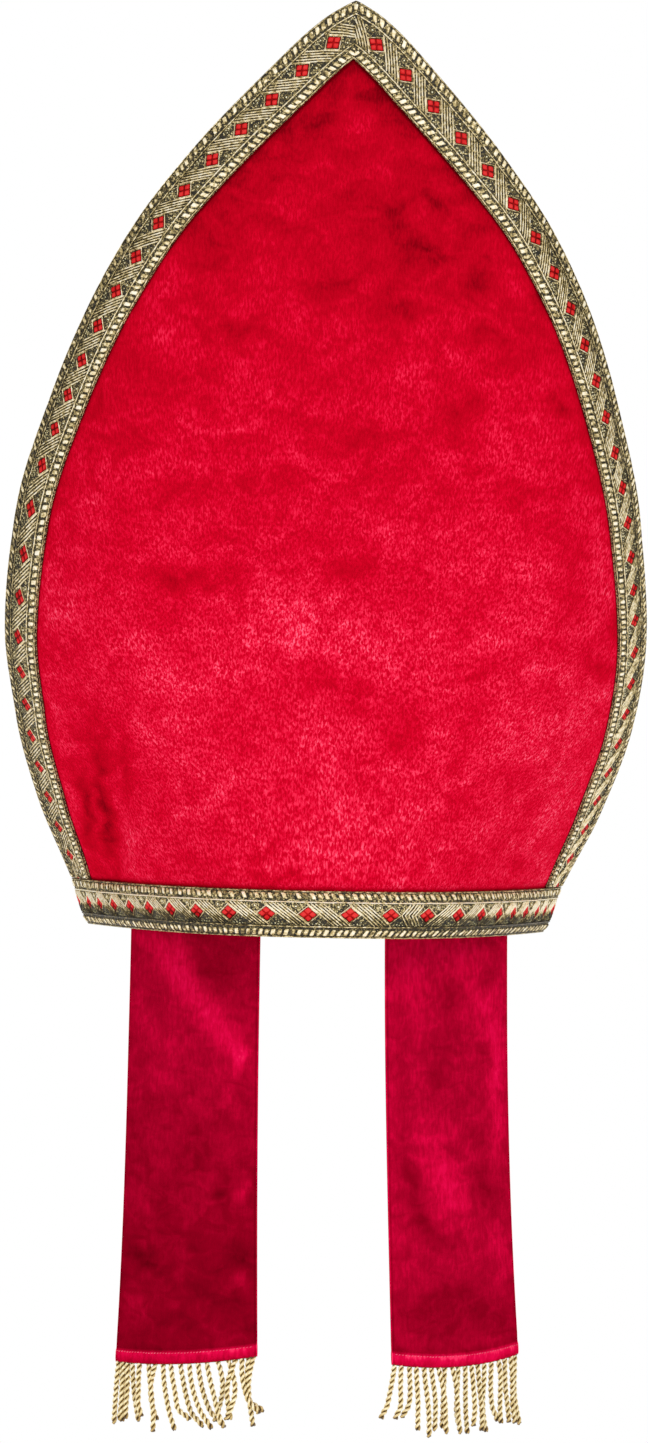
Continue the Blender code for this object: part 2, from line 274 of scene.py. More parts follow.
@dataclass(frozen=True)
class Paper(Finish):
    """White studio paper, lit more towards its rim so that it has no edge against the surround."""

    radius: float
    cloud_mm: float = 400.0
    glow: tuple[float, float] = (0.25, 1.0)  # at the middle and at the rim

    def pattern(self, node: Wire, place: bpy.types.NodeSocket) -> dict[str, Any]:
        """Wire the faint clouds and the glow.

        Args:
            node: adds a node to the material's tree.
            place: Object coordinates.

        Returns:
            What feeds the shader's inputs.
        """
        cloud = node("TexNoise", {"Vector": place, "Scale": 1000 / self.cloud_mm, "Detail": 2})
        far = node("VectorMath LENGTH", [node("VectorMath MULTIPLY", (place, (1, 1, 0)))], "Value")
        reach = (self.radius * 0.35, self.radius * 0.97)
        return {
            "Base Color": node("ValToRGB", [cloud], ramp=self.tones),
            "Emission Strength": node("MapRange", (far, *reach, *self.glow), interpolation_type="SMOOTHSTEP"),
            "Emission Color": linear(self.tones[0][1]), "Roughness": 0.9,
        }


CRIMSON = (
    (0, "#74000C"), (0.25, "#B4021A"), (0.45, "#CE0424"), (0.6, "#E00C34"), (0.8, "#F42A4E"), (1, "#FF6480"),
)
ROSE = (
    (0, "#660010"), (0.28, "#8C001C"), (0.5, "#AE022A"), (0.7, "#CE0438"), (0.88, "#E40A48"), (1, "#FF3464"),
)
OLIVE = ((0, "#0E0B04"), (0.4, "#261F0D"), (0.64, "#483E20"), (0.82, "#8E7F4E"), (0.97, "#E2CF98"))
GOLD = ((0, "#181206"), (0.3, "#54451F"), (0.52, "#B8A266"), (0.7, "#F2DEAC"), (1, "#FFF8E2"))
RAYON = ((0, "#4A381E"), (0.34, "#8C6C38"), (0.6, "#CEB270"), (0.84, "#EEDAA4"), (1, "#FFF5CE"))
RED = ((0, "#2A0202"), (0.3, "#780406"), (0.6, "#C61014"), (1, "#E63C3A"))
CREAM = ((0, "#6A6440"), (0.5, "#DCD4A6"), (1, "#FFF8DC"))
PINK = ((0, "#A80028"), (0.5, "#F03060"), (1, "#FF84A0"))

FINISHES: Mapping[str, Finish] = {
    # Cotton velvet, dyed crimson, brushed by hand: soft patches and worm-like nap
    "velvet": Velvet("crimson_cotton_velvet", CRIMSON),
    # The same cloth inside, where the pile lies flat
    "lining": Velvet("crimson_velvet_lining", CRIMSON, patches=0.3, clouds=0.35, nap=0.2),
    # The lappets' rosier velvet, with a shorter pile that shines where it was brushed
    "lappet": Velvet("rose_crimson_velvet", ROSE, patch_mm=22, patches=0.32, cloud_mm=6, clouds=0.46,
                     nap_mm=1.2, nap=0.16, relief_mm=0.25),
    # Woven jacquard braid: olive ground, gold lurex, red and cream silk
    "ground": WovenGround("olive_braid_ground", OLIVE),
    "gold": Thread("gold_lurex_thread", GOLD, grain_mm=1.5, grain=1.8, metal=0.1, roughness=0.42, gloss=0.5),
    "silk": Thread("red_silk_thread", RED, high_mm=0.5, grain=0.6, gloss=0.05),
    "cream": Thread("cream_silk_thread", CREAM, grain=0.4),
    # Two-ply rayon cord, glossy, with a painted cream highlight on the crest and painted brown shade between
    # the plies
    "cord": Thread("gold_rayon_cord", RAYON, low_mm=0.47, high_mm=1.12, grain_mm=1.5, grain=0.8, roughness=0.4),
    # Polyester sewing thread along the hems
    "stitch": Thread("rose_sewing_thread", PINK, high_mm=0.35, grain=0.5),
}


# ---------------- meshes


def unit(vectors: Array) -> Array:
    """Scale each vector to length 1."""
    return vectors / np.maximum(np.linalg.norm(vectors, axis=-1, keepdims=True), 1e-12)


def smooth_step(share: Array | float) -> Array:
    """Ease from 0 to 1 as share goes from 0 to 1."""
    s = np.clip(share, 0.0, 1.0)
    return s * s * (3 - 2 * s)


def strides(points: Array) -> Array:
    """Measure from each point to the next."""
    return np.linalg.norm(np.diff(points, axis=0), axis=-1)


def summed(steps: Array) -> Array:
    """Add steps up, from 0."""
    return np.concatenate([[0], np.cumsum(steps)])


def looked_up(table: Table, where: Array) -> Array:
    """Read a table of places and values, evenly between its rows."""
    return np.interp(where, *np.transpose(table))


def bunched(count: int) -> Array:
    """Space places from -1 to 1, nearer to each other at both ends."""
    return np.sin(np.linspace(-1, 1, count) * math.pi / 2)


def cells(rows: int, columns: int) -> Array:
    """List the corners of a grid's cells."""
    index = np.arange(rows * columns).reshape(rows, columns)
    return np.stack([index[:-1, :-1], index[:-1, 1:], index[1:, 1:], index[1:, :-1]], axis=-1).reshape(-1, 4)


def placed(name: str, data: bpy.types.ID) -> Thing:
    """Put an object with this data into the scene.

    Args:
        name: the object's name.
        data: its mesh, curve, camera or light.

    Returns:
        The object.
    """
    made = bpy.data.objects.new(name, data)
    bpy.context.scene.collection.objects.link(made)
    return made


def outwards(thing: Thing, angle: float = 40.0) -> None:
    """Turn a closed mesh's faces outwards, and shade it smooth.

    Args:
        thing: the object.
        angle: up to how many degrees an edge is smooth.
    """
    shape = bmesh.new()
    shape.from_mesh(thing.data)
    bmesh.ops.recalc_face_normals(shape, faces=shape.faces)
    shape.to_mesh(thing.data)
    shape.free()
    thing.data.shade_smooth()
    thing.data.set_sharp_from_angle(angle=math.radians(angle))


def solid(name: str, points: Array, faces: Sequence[Sequence[int]], angle: float = 40.0) -> Thing:
    """Make an object of a closed mesh.

    Args:
        name: the object's name.
        points: the mesh's points.
        faces: the corners of its faces.
        angle: up to how many degrees an edge is smooth.

    Returns:
        The object, with its faces outwards.
    """
    mesh = bpy.data.meshes.new(name)
    mesh.from_pydata(points.tolist(), [], faces)
    made = placed(name, mesh)
    outwards(made, angle)
    return made


def reshaped(thing: Thing, change: Callable[[Array], Array]) -> None:
    """Move a mesh's points.

    Args:
        thing: the object.
        change: takes the points as rows of x, y and z and returns the new ones.
    """
    flat = np.empty(len(thing.data.vertices) * 3)
    thing.data.vertices.foreach_get("co", flat)
    thing.data.vertices.foreach_set("co", np.ascontiguousarray(change(flat.reshape(-1, 3))).reshape(-1))
    thing.data.update()


def mirrored_in(axis: int) -> Callable[[Array], Array]:
    """Give a change of points that turns over one coordinate."""
    return lambda points: points * np.where(np.arange(3) == axis, -1, 1)


def joined(name: str, things: Sequence[Thing]) -> Thing:
    """Make one object of several, and remove them.

    Args:
        name: the new object's name.
        things: objects that sit at the origin, all of one material.

    Returns:
        The new object.
    """
    shape = bmesh.new()
    for thing in things:
        shape.from_mesh(thing.data)
        bpy.data.objects.remove(thing)
    mesh = bpy.data.meshes.new(name)
    shape.to_mesh(mesh)
    shape.free()
    made = placed(name, mesh)
    outwards(made)
    return made


def cut_at_middle(thing: Thing) -> None:
    """Cut off what stands past the plane X = 0 on the +X side, and close the cut.

    Args:
        thing: a closed mesh's object.
    """
    shape = bmesh.new()
    shape.from_mesh(thing.data)
    bmesh.ops.bisect_plane(shape, geom=[*shape.verts, *shape.edges, *shape.faces], dist=1e-7,
                           plane_co=(0, 0, 0), plane_no=(1, 0, 0), clear_outer=True)
    bmesh.ops.holes_fill(shape, edges=[edge for edge in shape.edges if edge.is_boundary], sides=0)
    shape.to_mesh(thing.data)
    shape.free()


class Cloth:
    """A sheet of quads over points with normals, which becomes a closed mesh."""

    inside_shade = 0.45

    def __init__(self) -> None:
        """Start with no points."""
        self.patches: list[tuple[Array, ...]] = []
        self.count = 0

    def add(self, points: Array, normals: Array, outer: Array | float, shade: Array | float = 0.0) -> None:
        """Add a patch of rows and columns.

        Args:
            points: rows, columns and 3 numbers.
            normals: the outward normals, in the same layout.
            outer: how far the outer face stands off the points.
            shade: lighter above 0 and darker below 0, for the finish.
        """
        layout = points.shape[:2]
        even = [np.broadcast_to(values, layout).reshape(-1) for values in (outer, shade)]
        self.patches.append((points.reshape(-1, 3), normals.reshape(-1, 3), *even, cells(*layout) + self.count))
        self.count += layout[0] * layout[1]

    def closed(self, name: str, inner: float, lined: bool = False, weld: float = 2e-6) -> Thing:
        """Close the sheet with an inner face and side walls.

        Args:
            name: the object's name.
            inner: how far the inner face stands off the points, along the normals.
            lined: the inner face gets the second material.
            weld: points this near are one.

        Returns:
            The object, with its faces outwards.
        """
        points, normals, outer, shade, quads = map(np.concatenate, zip(*self.patches))
        keys = np.round(points / weld).astype(np.int64)
        _, first, index = np.unique(keys, axis=0, return_index=True, return_inverse=True)
        points, normals, outer, shade = (values[first] for values in (points, normals, outer, shade))
        faces, count = [], len(points)
        for quad in index.reshape(-1)[quads].tolist():
            face = [corner for i, corner in enumerate(quad) if corner != quad[i - 1]]
            if 3 <= len(set(face)) == len(face):
                faces.append(face)
        sides = dict.fromkeys(side for face in faces for side in zip(face, face[1:] + face[:1]))
        walls = [(b, a, a + count, b + count) for a, b in sides if (b, a) not in sides]
        under = [[i + count for i in reversed(face)] for face in faces]
        skins = np.concatenate([points + normals * outer[:, None], points + normals * inner])
        made = solid(name, skins, faces + under + walls)
        kinds = np.zeros(len(made.data.polygons), np.int32)
        kinds[len(faces) : len(faces) + len(under)] = int(lined)
        made.data.polygons.foreach_set("material_index", kinds)
        tint = made.data.attributes.new("shade", "FLOAT", "POINT")
        inside = np.full(count, self.inside_shade)
        tint.data.foreach_set("value", np.concatenate([shade, inside]).astype(np.float32))
        return made


# ---------------- the horns' form


class Section(NamedTuple):
    """A level section of a horn, in millimetres."""

    height: float
    half_width: float
    front: float  # depth of the middle line from the plane Y = 0
    edge: float  # depth of the edge from it
    power: float  # 2 is a parabola across, and more is flatter in the middle
    lean: float  # how far the middle line stands towards +X


HORN = tuple(starmap(Section, (
    (0, 90.5, 102, 1.2, 2.5, 0), (18, 96.5, 104.5, 1.2, 2.5, 0), (50, 110, 111.5, 27, 2.6, 0),
    (83, 119, 121, 54, 3.4, 0), (114, 122.3, 132, 78, 4, -1), (160, 117.5, 150, 108, 4.4, -2),
    (204, 105, 162, 131, 4.5, -1.2), (234, 93.5, 166, 143, 4.4, -0.4), (263, 78.5, 166.5, 151, 4.2, 0.2),
    (293, 57, 163, 155.5, 3.5, 0.8), (322, 31.5, 160, 158, 3, 1.8), (342, 11.3, 158.8, 158.5, 3, 2.4),
    (349, 0, 158.5, 158.5, 3, 2.6),
)))


class Curve:
    """A smooth curve through a table's rows, which never overshoots them."""

    def __init__(self, at: Sequence[float], values: Sequence[float]) -> None:
        """Find the slopes at the rows.

        Args:
            at: the rows' places.
            values: the values there.
        """
        self.at, self.values = np.array(at, float), np.array(values, float)
        slope = np.diff(self.values) / np.diff(self.at)
        self.slopes = np.zeros(len(at))
        for i, (before, after) in enumerate(zip(slope[:-1], slope[1:]), 1):
            if before * after > 0:
                self.slopes[i] = 2 * before * after / (before + after)
        self.slopes[0] = 1.5 * slope[0] - 0.5 * self.slopes[1]
        self.slopes[-1] = 1.5 * slope[-1] - 0.5 * self.slopes[-2]

    def __call__(self, where: Array | float) -> Array:
        """Give the values at any places.

        Args:
            where: the places.

        Returns:
            The values there.
        """
        where = np.asarray(where, float)
        i = np.clip(np.searchsorted(self.at, where) - 1, 0, len(self.at) - 2)
        run = self.at[i + 1] - self.at[i]
        t = np.clip((where - self.at[i]) / run, 0, 1)
        start, end = self.values[i], self.values[i + 1]
        bend = (2 * t**3 - 3 * t**2) * (start - end) + start
        leave = (t**3 - 2 * t**2 + t) * self.slopes[i] * run
        return bend + leave + (t**3 - t**2) * self.slopes[i + 1] * run


@dataclass
class HornForm:
    """The outer face of the horn on the -Y side, before its tip leans."""

    wall: float = 2.5 * MM
    braid_width: float = 18.6 * MM
    rim_height: float = 18.0 * MM
    gap: float = 0.3 * MM
    soft_gap: float = 0.8 * MM
    step: float = 0.4 * MM
    past_edge: float = 1.6  # how far the face goes on, as a share of its half width
    curves: dict[str, Curve] = field(init=False)

    def __post_init__(self) -> None:
        """Fit a curve to each column of the table."""
        self.curves = {}
        for name in Section._fields[1:]:
            rows = HORN[1:] if name == "edge" else HORN
            scale = 1.0 if name == "power" else MM
            self.curves[name] = Curve([r.height * MM for r in rows], [getattr(r, name) * scale for r in rows])
        self.seam, self.apex = HORN[0].edge * MM, HORN[-1].height * MM
        self.rim_top = self.rim_height + self.gap

    def half_width(self, z: Array | float) -> Array:
        """Half the horn's width at a height."""
        return self.curves["half_width"](z)

    def depth(self, x: Array | float, z: Array | float) -> Array:
        """Find the face's depth from the plane Y = 0.

        Args:
            x: places across.
            z: heights.

        Returns:
            The depths there.
        """
        z = np.asarray(z, float)
        edge = np.where(z <= self.rim_height, self.seam, self.curves["edge"](z))
        front = self.curves["front"](z)
        across = np.abs(x) / np.maximum(self.half_width(z), self.step)
        return front - (front - edge) * np.minimum(across, self.past_edge) ** self.curves["power"](z)

    def point(self, x: Array | float, z: Array | float) -> Array:
        """The face's point at a place across and a height."""
        x, z = np.broadcast_arrays(np.asarray(x, float), np.asarray(z, float))
        return np.stack([x, -self.depth(x, z), z], axis=-1)

    def normal(self, x: Array | float, z: Array | float) -> Array:
        """Find the outward normal, kept level behind the rim band.

        Args:
            x: places across.
            z: heights.

        Returns:
            The normals there.
        """
        x, z = np.broadcast_arrays(np.asarray(x, float), np.asarray(z, float))
        step = self.step
        across = (self.depth(x + step, z) - self.depth(x - step, z)) / (2 * step)
        up = (self.depth(x, z + step) - self.depth(x, z - step)) / (2 * step)
        up = np.where(z > self.rim_top, up, 0.0)
        return unit(np.stack([-across, -np.ones_like(across), -up], axis=-1))

    def lean(self, points: Array) -> Array:
        """Move points towards +X as the horn's middle line leans."""
        return points + self.curves["lean"](points[:, 2])[:, None] * (1, 0, 0)

    def edge_point(self, z: Array | float) -> Array:
        """The left edge's point at a height."""
        return self.point(-self.half_width(z), z)

    def edge_heights(self, spacing: float, top: float) -> Array:
        """Space heights evenly along the edge, from the rim band up.

        Args:
            spacing: the way along the edge from one to the next.
            top: the last height.

        Returns:
            The heights.
        """
        fine = np.linspace(self.rim_top, top, 600)
        run = summed(strides(self.edge_point(fine)))
        return np.interp(np.linspace(0, run[-1], round(run[-1] / spacing) + 1), run, fine)

    def braid_rows(self, heights: Array, steps: int, clip: bool) -> tuple[Array, Array]:
        """Walk square to the edge across the braid, from each height.

        Args:
            heights: where the rows start on the left edge.
            steps: cells across the braid.
            clip: stop each row at the middle line.

        Returns:
            The rows' points, and their normals.
        """
        start = self.edge_point(heights)
        ahead = self.edge_point(np.minimum(heights + self.step, self.apex))
        behind = self.edge_point(np.maximum(heights - self.step, self.rim_height))
        heading = np.cross(unit(ahead - behind), self.normal(start[:, 0], heights))
        heading = unit(heading * np.where(heading[:, :1] > 0, 1.0, -1.0))
        # Near the rim band the rows turn level
        level = unit(self.point(start[:, 0] + self.step, heights) - start)
        squared = np.minimum(1.0, (heights - self.rim_top) / (self.braid_width * 1.5))[:, None]
        heading = unit(level * (1 - squared) + heading * squared)
        path = [start]
        for _ in range(steps):
            last = path[-1]
            moved = last + heading * self.braid_width / steps
            if clip:
                over = moved[:, 0] >= 0
                run = np.where(over, moved[:, 0] - last[:, 0], 1.0)
                share = np.where(over, -last[:, 0] / np.maximum(run, 1e-12), 1.0)
                moved = last + (moved - last) * share[:, None]
                moved[:, 0] = np.minimum(moved[:, 0], 0.0)
            moved = self.point(moved[:, 0], np.minimum(moved[:, 2], self.apex))
            path.append(moved)
            normal = self.normal(moved[:, 0], moved[:, 2])
            heading = unit(heading - normal * (heading * normal).sum(axis=1, keepdims=True))
        points = np.stack(path, axis=1)
        return points, self.normal(points[..., 0], points[..., 2])

    def mitre_height(self) -> float:
        """Find the height on the edge from which a row ends on the middle line.

        Returns:
            The height.
        """
        low, high = self.rim_top, self.apex
        for _ in range(30):
            middle = (low + high) / 2
            points, _ = self.braid_rows(np.array([middle]), 12, True)
            low, high = (low, middle) if points[0, -1, 0] >= -1e-9 else (middle, high)
        return high


@dataclass
class Assembly:
    """What every sub-assembly is built on."""

    form: HornForm
    looks: Mapping[str, bpy.types.Material]

    def dress(self, piece: Thing, kinds: Sequence[str], slot: str, node: str) -> None:
        """Give a piece its materials and its body, and hide the solid that it replaces.

        Args:
            piece: the finished mesh.
            kinds: its finishes, in the order of its faces' indices.
            slot: not used.
            node: the solid that the piece replaces.
        """
        piece.data.materials.clear()
        for kind in kinds:
            piece.data.materials.append(self.looks[kind])
        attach(piece, "root")
        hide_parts(node)
        log.info("%s: %d faces", piece.name, len(piece.data.polygons))

    def stand(self, piece: Thing, mirrored: bool = False) -> None:
        """Lean a piece with the horns.

        Args:
            piece: a closed mesh's object.
            mirrored: move it to the +Y side.
        """
        reshaped(piece, self.form.lean)
        if mirrored:
            reshaped(piece, mirrored_in(1))
        outwards(piece)


# ---------------- repeats along a strip


def started(name: str, **inputs: str) -> tuple[Tree, Wire, Any]:
    """Start a geometry tree.

    Args:
        name: the tree's name.
        **inputs: the names of its inputs by their kind, with commas between.

    Returns:
        The tree, what adds a node to it, and its inputs' sockets.
    """
    tree = bpy.data.node_groups.new(name, "GeometryNodeTree")
    tree.interface.new_socket("Geometry", in_out="OUTPUT", socket_type="NodeSocketGeometry")
    for kind, names in inputs.items():
        for each in names.split(", "):
            tree.interface.new_socket(each, in_out="INPUT", socket_type=f"NodeSocket{kind}")
    node = partial(add_node, tree)
    return tree, node, node("NodeGroupInput", out=None)


def ended(node: Wire, given: Any, shape: bpy.types.NodeSocket) -> None:
    """End a geometry tree.

    Args:
        node: adds a node to it.
        given: its inputs' sockets.
        shape: what it has made.
    """
    shape = node("GeometryNodeRealizeInstances", [shape])
    shape = node("GeometryNodeSetMaterial", {"Geometry": shape, "Material": given["Finish"]})
    node("NodeGroupOutput", [shape], None)


@cache
def strip_tree() -> Tree:
    """Build the tree that lays a flat repeat along a strip and bends it onto the surface.

    Returns:
        The tree.
    """
    tree, node, given = started(
        "lay_repeat_on_strip", Object="Repeat, Surface", Int="Count", Material="Finish",
        Float="First, Pitch, Start, Length, Width, Unevenness, Shadow, Side Shadow, Selvedge, Shine",
    )
    first, pitch = (node("CombineXYZ", [given[name]]) for name in ("First", "Pitch"))
    line = node("GeometryNodeMeshLine", {"Count": given["Count"], "Start Location": first, "Offset": pitch})
    repeat, surface = (node("GeometryNodeObjectInfo", [given[name]], "Geometry")
                       for name in ("Repeat", "Surface"))
    laid = node("GeometryNodeInstanceOnPoints", {"Points": line, "Instance": repeat})
    laid = node("GeometryNodeRealizeInstances", [laid])
    place = node("GeometryNodeInputPosition")
    wander = node("TexNoise", {"Vector": place, "Scale": 260, "Detail": 1}, "Color")
    wander = node("VectorMath SUBTRACT", (wander, (0.5, 0.5, 0.5)))
    wander = node("VectorMath SCALE", {0: wander, "Scale": given["Unevenness"]})
    wander = node("VectorMath MULTIPLY", (wander, (1, 1, 0.5)))
    parts = node("SeparateXYZ", [node("VectorMath ADD", (place, wander))], None)
    v = node("Math DIVIDE", (node("Math SUBTRACT", (parts["X"], given["Start"])), given["Length"]))
    u = node("Math DIVIDE", (parts["Y"], given["Width"]))
    chart, lift = (node("GeometryNodeInputNamedAttribute", [name], data_type="FLOAT_VECTOR")
                   for name in ("strip", "lift"))
    sample = {"Mesh": surface, "UV Map": chart, "Sample UV": node("CombineXYZ", (u, v))}
    found, up = (node("GeometryNodeSampleUVSurface", {**sample, "Value": value}, None, data_type="FLOAT_VECTOR")
                 for value in (place, lift))
    raised = node("VectorMath SCALE", {0: up["Value"], "Scale": parts["Z"]})
    target = node("VectorMath ADD", (found["Value"], raised))
    # The side that rolls back is darker, by up to the shadow in millimetres of crest; the
    # outermost threads catch the light again
    turned = node("Math ABSOLUTE", [node("SeparateXYZ", [up["Value"]])])
    shadow = node("Math MULTIPLY_ADD", (turned, given["Side Shadow"], given["Shadow"]))
    under = node("MapRange", (u, 0.62, 0.3, 0, shadow), interpolation_type="SMOOTHSTEP")
    past = node("Math MULTIPLY_ADD", (node("Math GREATER_THAN", (u, given["Selvedge"])), 0.6, 0.4))
    # A thread's height off the strip becomes its crest, which the finish paints as shade low down and a
    # highlight on top
    crest = node("Math MULTIPLY", (parts["Z"], 1000))
    crest = node("Math SUBTRACT", (crest, node("Math MULTIPLY", (under, past))))
    # The figure's upper half faces the light, and the border above it turns away again
    lit, past = node("MapRange", (u, 0.42, 0.54)), node("MapRange", (u, 0.77, 0.82, 1, -0.4))
    shine = node("Math MULTIPLY", (past, lit))
    crest = node("Math MULTIPLY_ADD", (shine, given["Shine"], crest))
    off = node("FunctionNodeBooleanMath NOT", [found["Is Valid"]])
    for name, value, kind in (("crest", crest, "FLOAT"), ("off_strip", off, "BOOLEAN")):
        laid = node("GeometryNodeStoreNamedAttribute", {"Geometry": laid, "Name": name, "Value": value},
                    data_type=kind, domain="POINT")
    laid = node("GeometryNodeSetPosition", {"Geometry": laid, "Position": target})
    off = node("GeometryNodeInputNamedAttribute", ["off_strip"], data_type="BOOLEAN")
    laid = node("GeometryNodeDeleteGeometry", {"Geometry": laid, "Selection": off}, domain="POINT")
    ended(node, given, laid)
    return tree


def grown(name: str, start: bpy.types.ID, tree: Tree, values: Mapping[str, Any]) -> Thing:
    """Evaluate a node tree once and keep its result as a plain mesh.

    Args:
        name: the new object's name.
        start: the mesh or curve that the modifier sits on.
        tree: the geometry node tree.
        values: the tree's inputs by name.

    Returns:
        An object with a plain mesh at the origin.
    """
    holder = placed(f"{name}_source", start)
    modifier = holder.modifiers.new("grow", "NODES")
    modifier.node_group = tree
    for item in tree.interface.items_tree:
        if item.in_out == "INPUT" and item.name in values:
            modifier[item.identifier] = values[item.name]
    graph = bpy.context.evaluated_depsgraph_get()
    mesh = bpy.data.meshes.new_from_object(holder.evaluated_get(graph), depsgraph=graph)
    mesh.name = name
    holder.modifiers.remove(modifier)
    bpy.data.objects.remove(holder)
    return placed(name, mesh)


class Relief:
    """Closed little shapes on a flat strip: x along it, y across it, z off it."""

    profile = ((-0.5, 0.0), (-0.4, 0.65), (0.0, 1.0), (0.4, 0.65), (0.5, 0.0))  # of a thread

    def __init__(self) -> None:
        """Start with nothing."""
        self.points: list[tuple[float, float, float]] = []
        self.faces: list[list[int]] = []

    def pillow(self, corners: Sequence[tuple[float, float]], base: float, height: float, inset: float,
               blunt: float) -> None:
        """Add a low block with rounded corners and a domed top.

        Args:
            corners: its outline, in millimetres.
            base: where its underside lies.
            height: how tall it stands.
            inset: how far its top is drawn in, as a share of its size.
            blunt: how much of each side a corner's rounding takes.
        """
        ring = []
        for i, here in enumerate(corners):
            for other in (corners[i - 1], corners[(i + 1) % len(corners)]):
                ring.append(tuple(h + (o - h) * blunt for h, o in zip(here, other)))
        cx, cy = (sum(places) / len(ring) for places in zip(*ring))
        start, count = len(self.points), len(ring)
        # Upright sides, a rounded shoulder and a low dome
        for share, up in ((1.0, 0.0), (0.97, 0.55), (1 - inset, 1.0)):
            self.points += [(cx + (x - cx) * share, cy + (y - cy) * share, base + height * up) for x, y in ring]
        self.points.append((cx, cy, base + height * 1.12))
        for level in (start, start + count):
            for i in range(count):
                a, b = level + i, level + (i + 1) % count
                self.faces.append([a, b, b + count, a + count])
        top = start + 2 * count
        self.faces += [[top + i, top + (i + 1) % count, top + count] for i in range(count)]
        self.faces.append([start + i for i in reversed(range(count))])

    def thread(self, path: Sequence[tuple[float, float]], width: float, height: float, base: float = -0.1,
               taper: float = 1.0) -> None:
        """Add a half-round thread along a path.

        Args:
            path: its middle line, in millimetres.
            width: how wide it is.
            height: how tall it stands.
            base: where its underside lies.
            taper: its width at both ends, as a share.
        """
        line = np.array(path, float)
        ahead = unit(np.gradient(line, axis=0))
        side = np.stack([-ahead[:, 1], ahead[:, 0]], axis=1)
        start, last, count = len(self.points), len(line) - 1, len(self.profile)
        for i, (spot, off) in enumerate(zip(line, side)):
            size = taper if i in (0, last) else 1.0
            for out, up in self.profile:
                self.points.append((*(spot + off * out * width * size), base + up * height * size))
        for ring in range(start, start + last * count, count):
            for k in range(count):
                a, b = ring + k, ring + (k + 1) % count
                self.faces.append([a, a + count, b + count, b])
        self.faces.append([start + k for k in range(count)])
        self.faces.append([start + last * count + k for k in reversed(range(count))])

    def build(self, name: str, flipped: float | None = None) -> Thing:
        """Make the object, with millimetres turned to metres.

        Args:
            name: the object's name.
            flipped: a width to mirror it in, from edge to edge.

        Returns:
            The object, with its faces outwards.
        """
        points = np.array(self.points)
        if flipped is not None:
            points[:, 1] = flipped - points[:, 1]
        return solid(name, points * MM, self.faces, 60)


@dataclass
class Strip:
    """A surface that repeats are laid on: width across it, and the run along it."""

    points: Array
    normals: Array
    along: Array
    width: float
    valid: Array | bool = True

    def guide(self) -> Thing:
        """Make the guide mesh, with a UV map for the place and a vector for outwards.

        Returns:
            The guide.
        """
        rows, columns = self.points.shape[:2]
        quads = cells(rows, columns)
        quads = quads[np.broadcast_to(self.valid, (rows, columns)).reshape(-1)[quads].all(axis=1)]
        mesh = bpy.data.meshes.new("strip")
        mesh.from_pydata(self.points.reshape(-1, 3).tolist(), [], quads.tolist())
        v = (self.along - self.along.min()) / np.ptp(self.along)
        places = np.stack(np.broadcast_arrays(np.linspace(0, 1, columns), v[:, None]), axis=-1).reshape(-1, 2)
        loops = np.empty(len(mesh.loops), np.int32)
        mesh.loops.foreach_get("vertex_index", loops)
        layer = mesh.uv_layers.new(name="strip")
        layer.data.foreach_set("uv", places[loops].astype(np.float32).reshape(-1))
        lift = mesh.attributes.new("lift", "FLOAT_VECTOR", "POINT")
        lift.data.foreach_set("vector", self.normals.reshape(-1).astype(np.float32))
        return placed("strip", mesh)

    def lay(self, name: str, relief: Relief, values: Mapping[str, Any], flipped: float | None = None) -> Thing:
        """Lay repeats along the strip.

        Args:
            name: the new object's name.
            relief: one repeat.
            values: how many, how far apart, their finish and what else the tree takes.
            flipped: a width to mirror the repeat in.

        Returns:
            The threads as one mesh.
        """
        guide, flat = self.guide(), relief.build("flat", flipped)
        made = grown(name, bpy.data.meshes.new("empty"), strip_tree(), {
            "Surface": guide, "Repeat": flat, "Width": self.width,
            "Start": float(self.along.min()), "Length": float(np.ptp(self.along)), **values,
        })
        for spare in (guide, flat):
            bpy.data.objects.remove(spare)
        return made


# ---------------- braid


class Hand(Enum):
    """Which way the braid's gold strokes run, seen with the braid level."""

    FALLING = "falling to the right"
    RISING = "rising to the right"
    CHEVRON = "meeting in points"


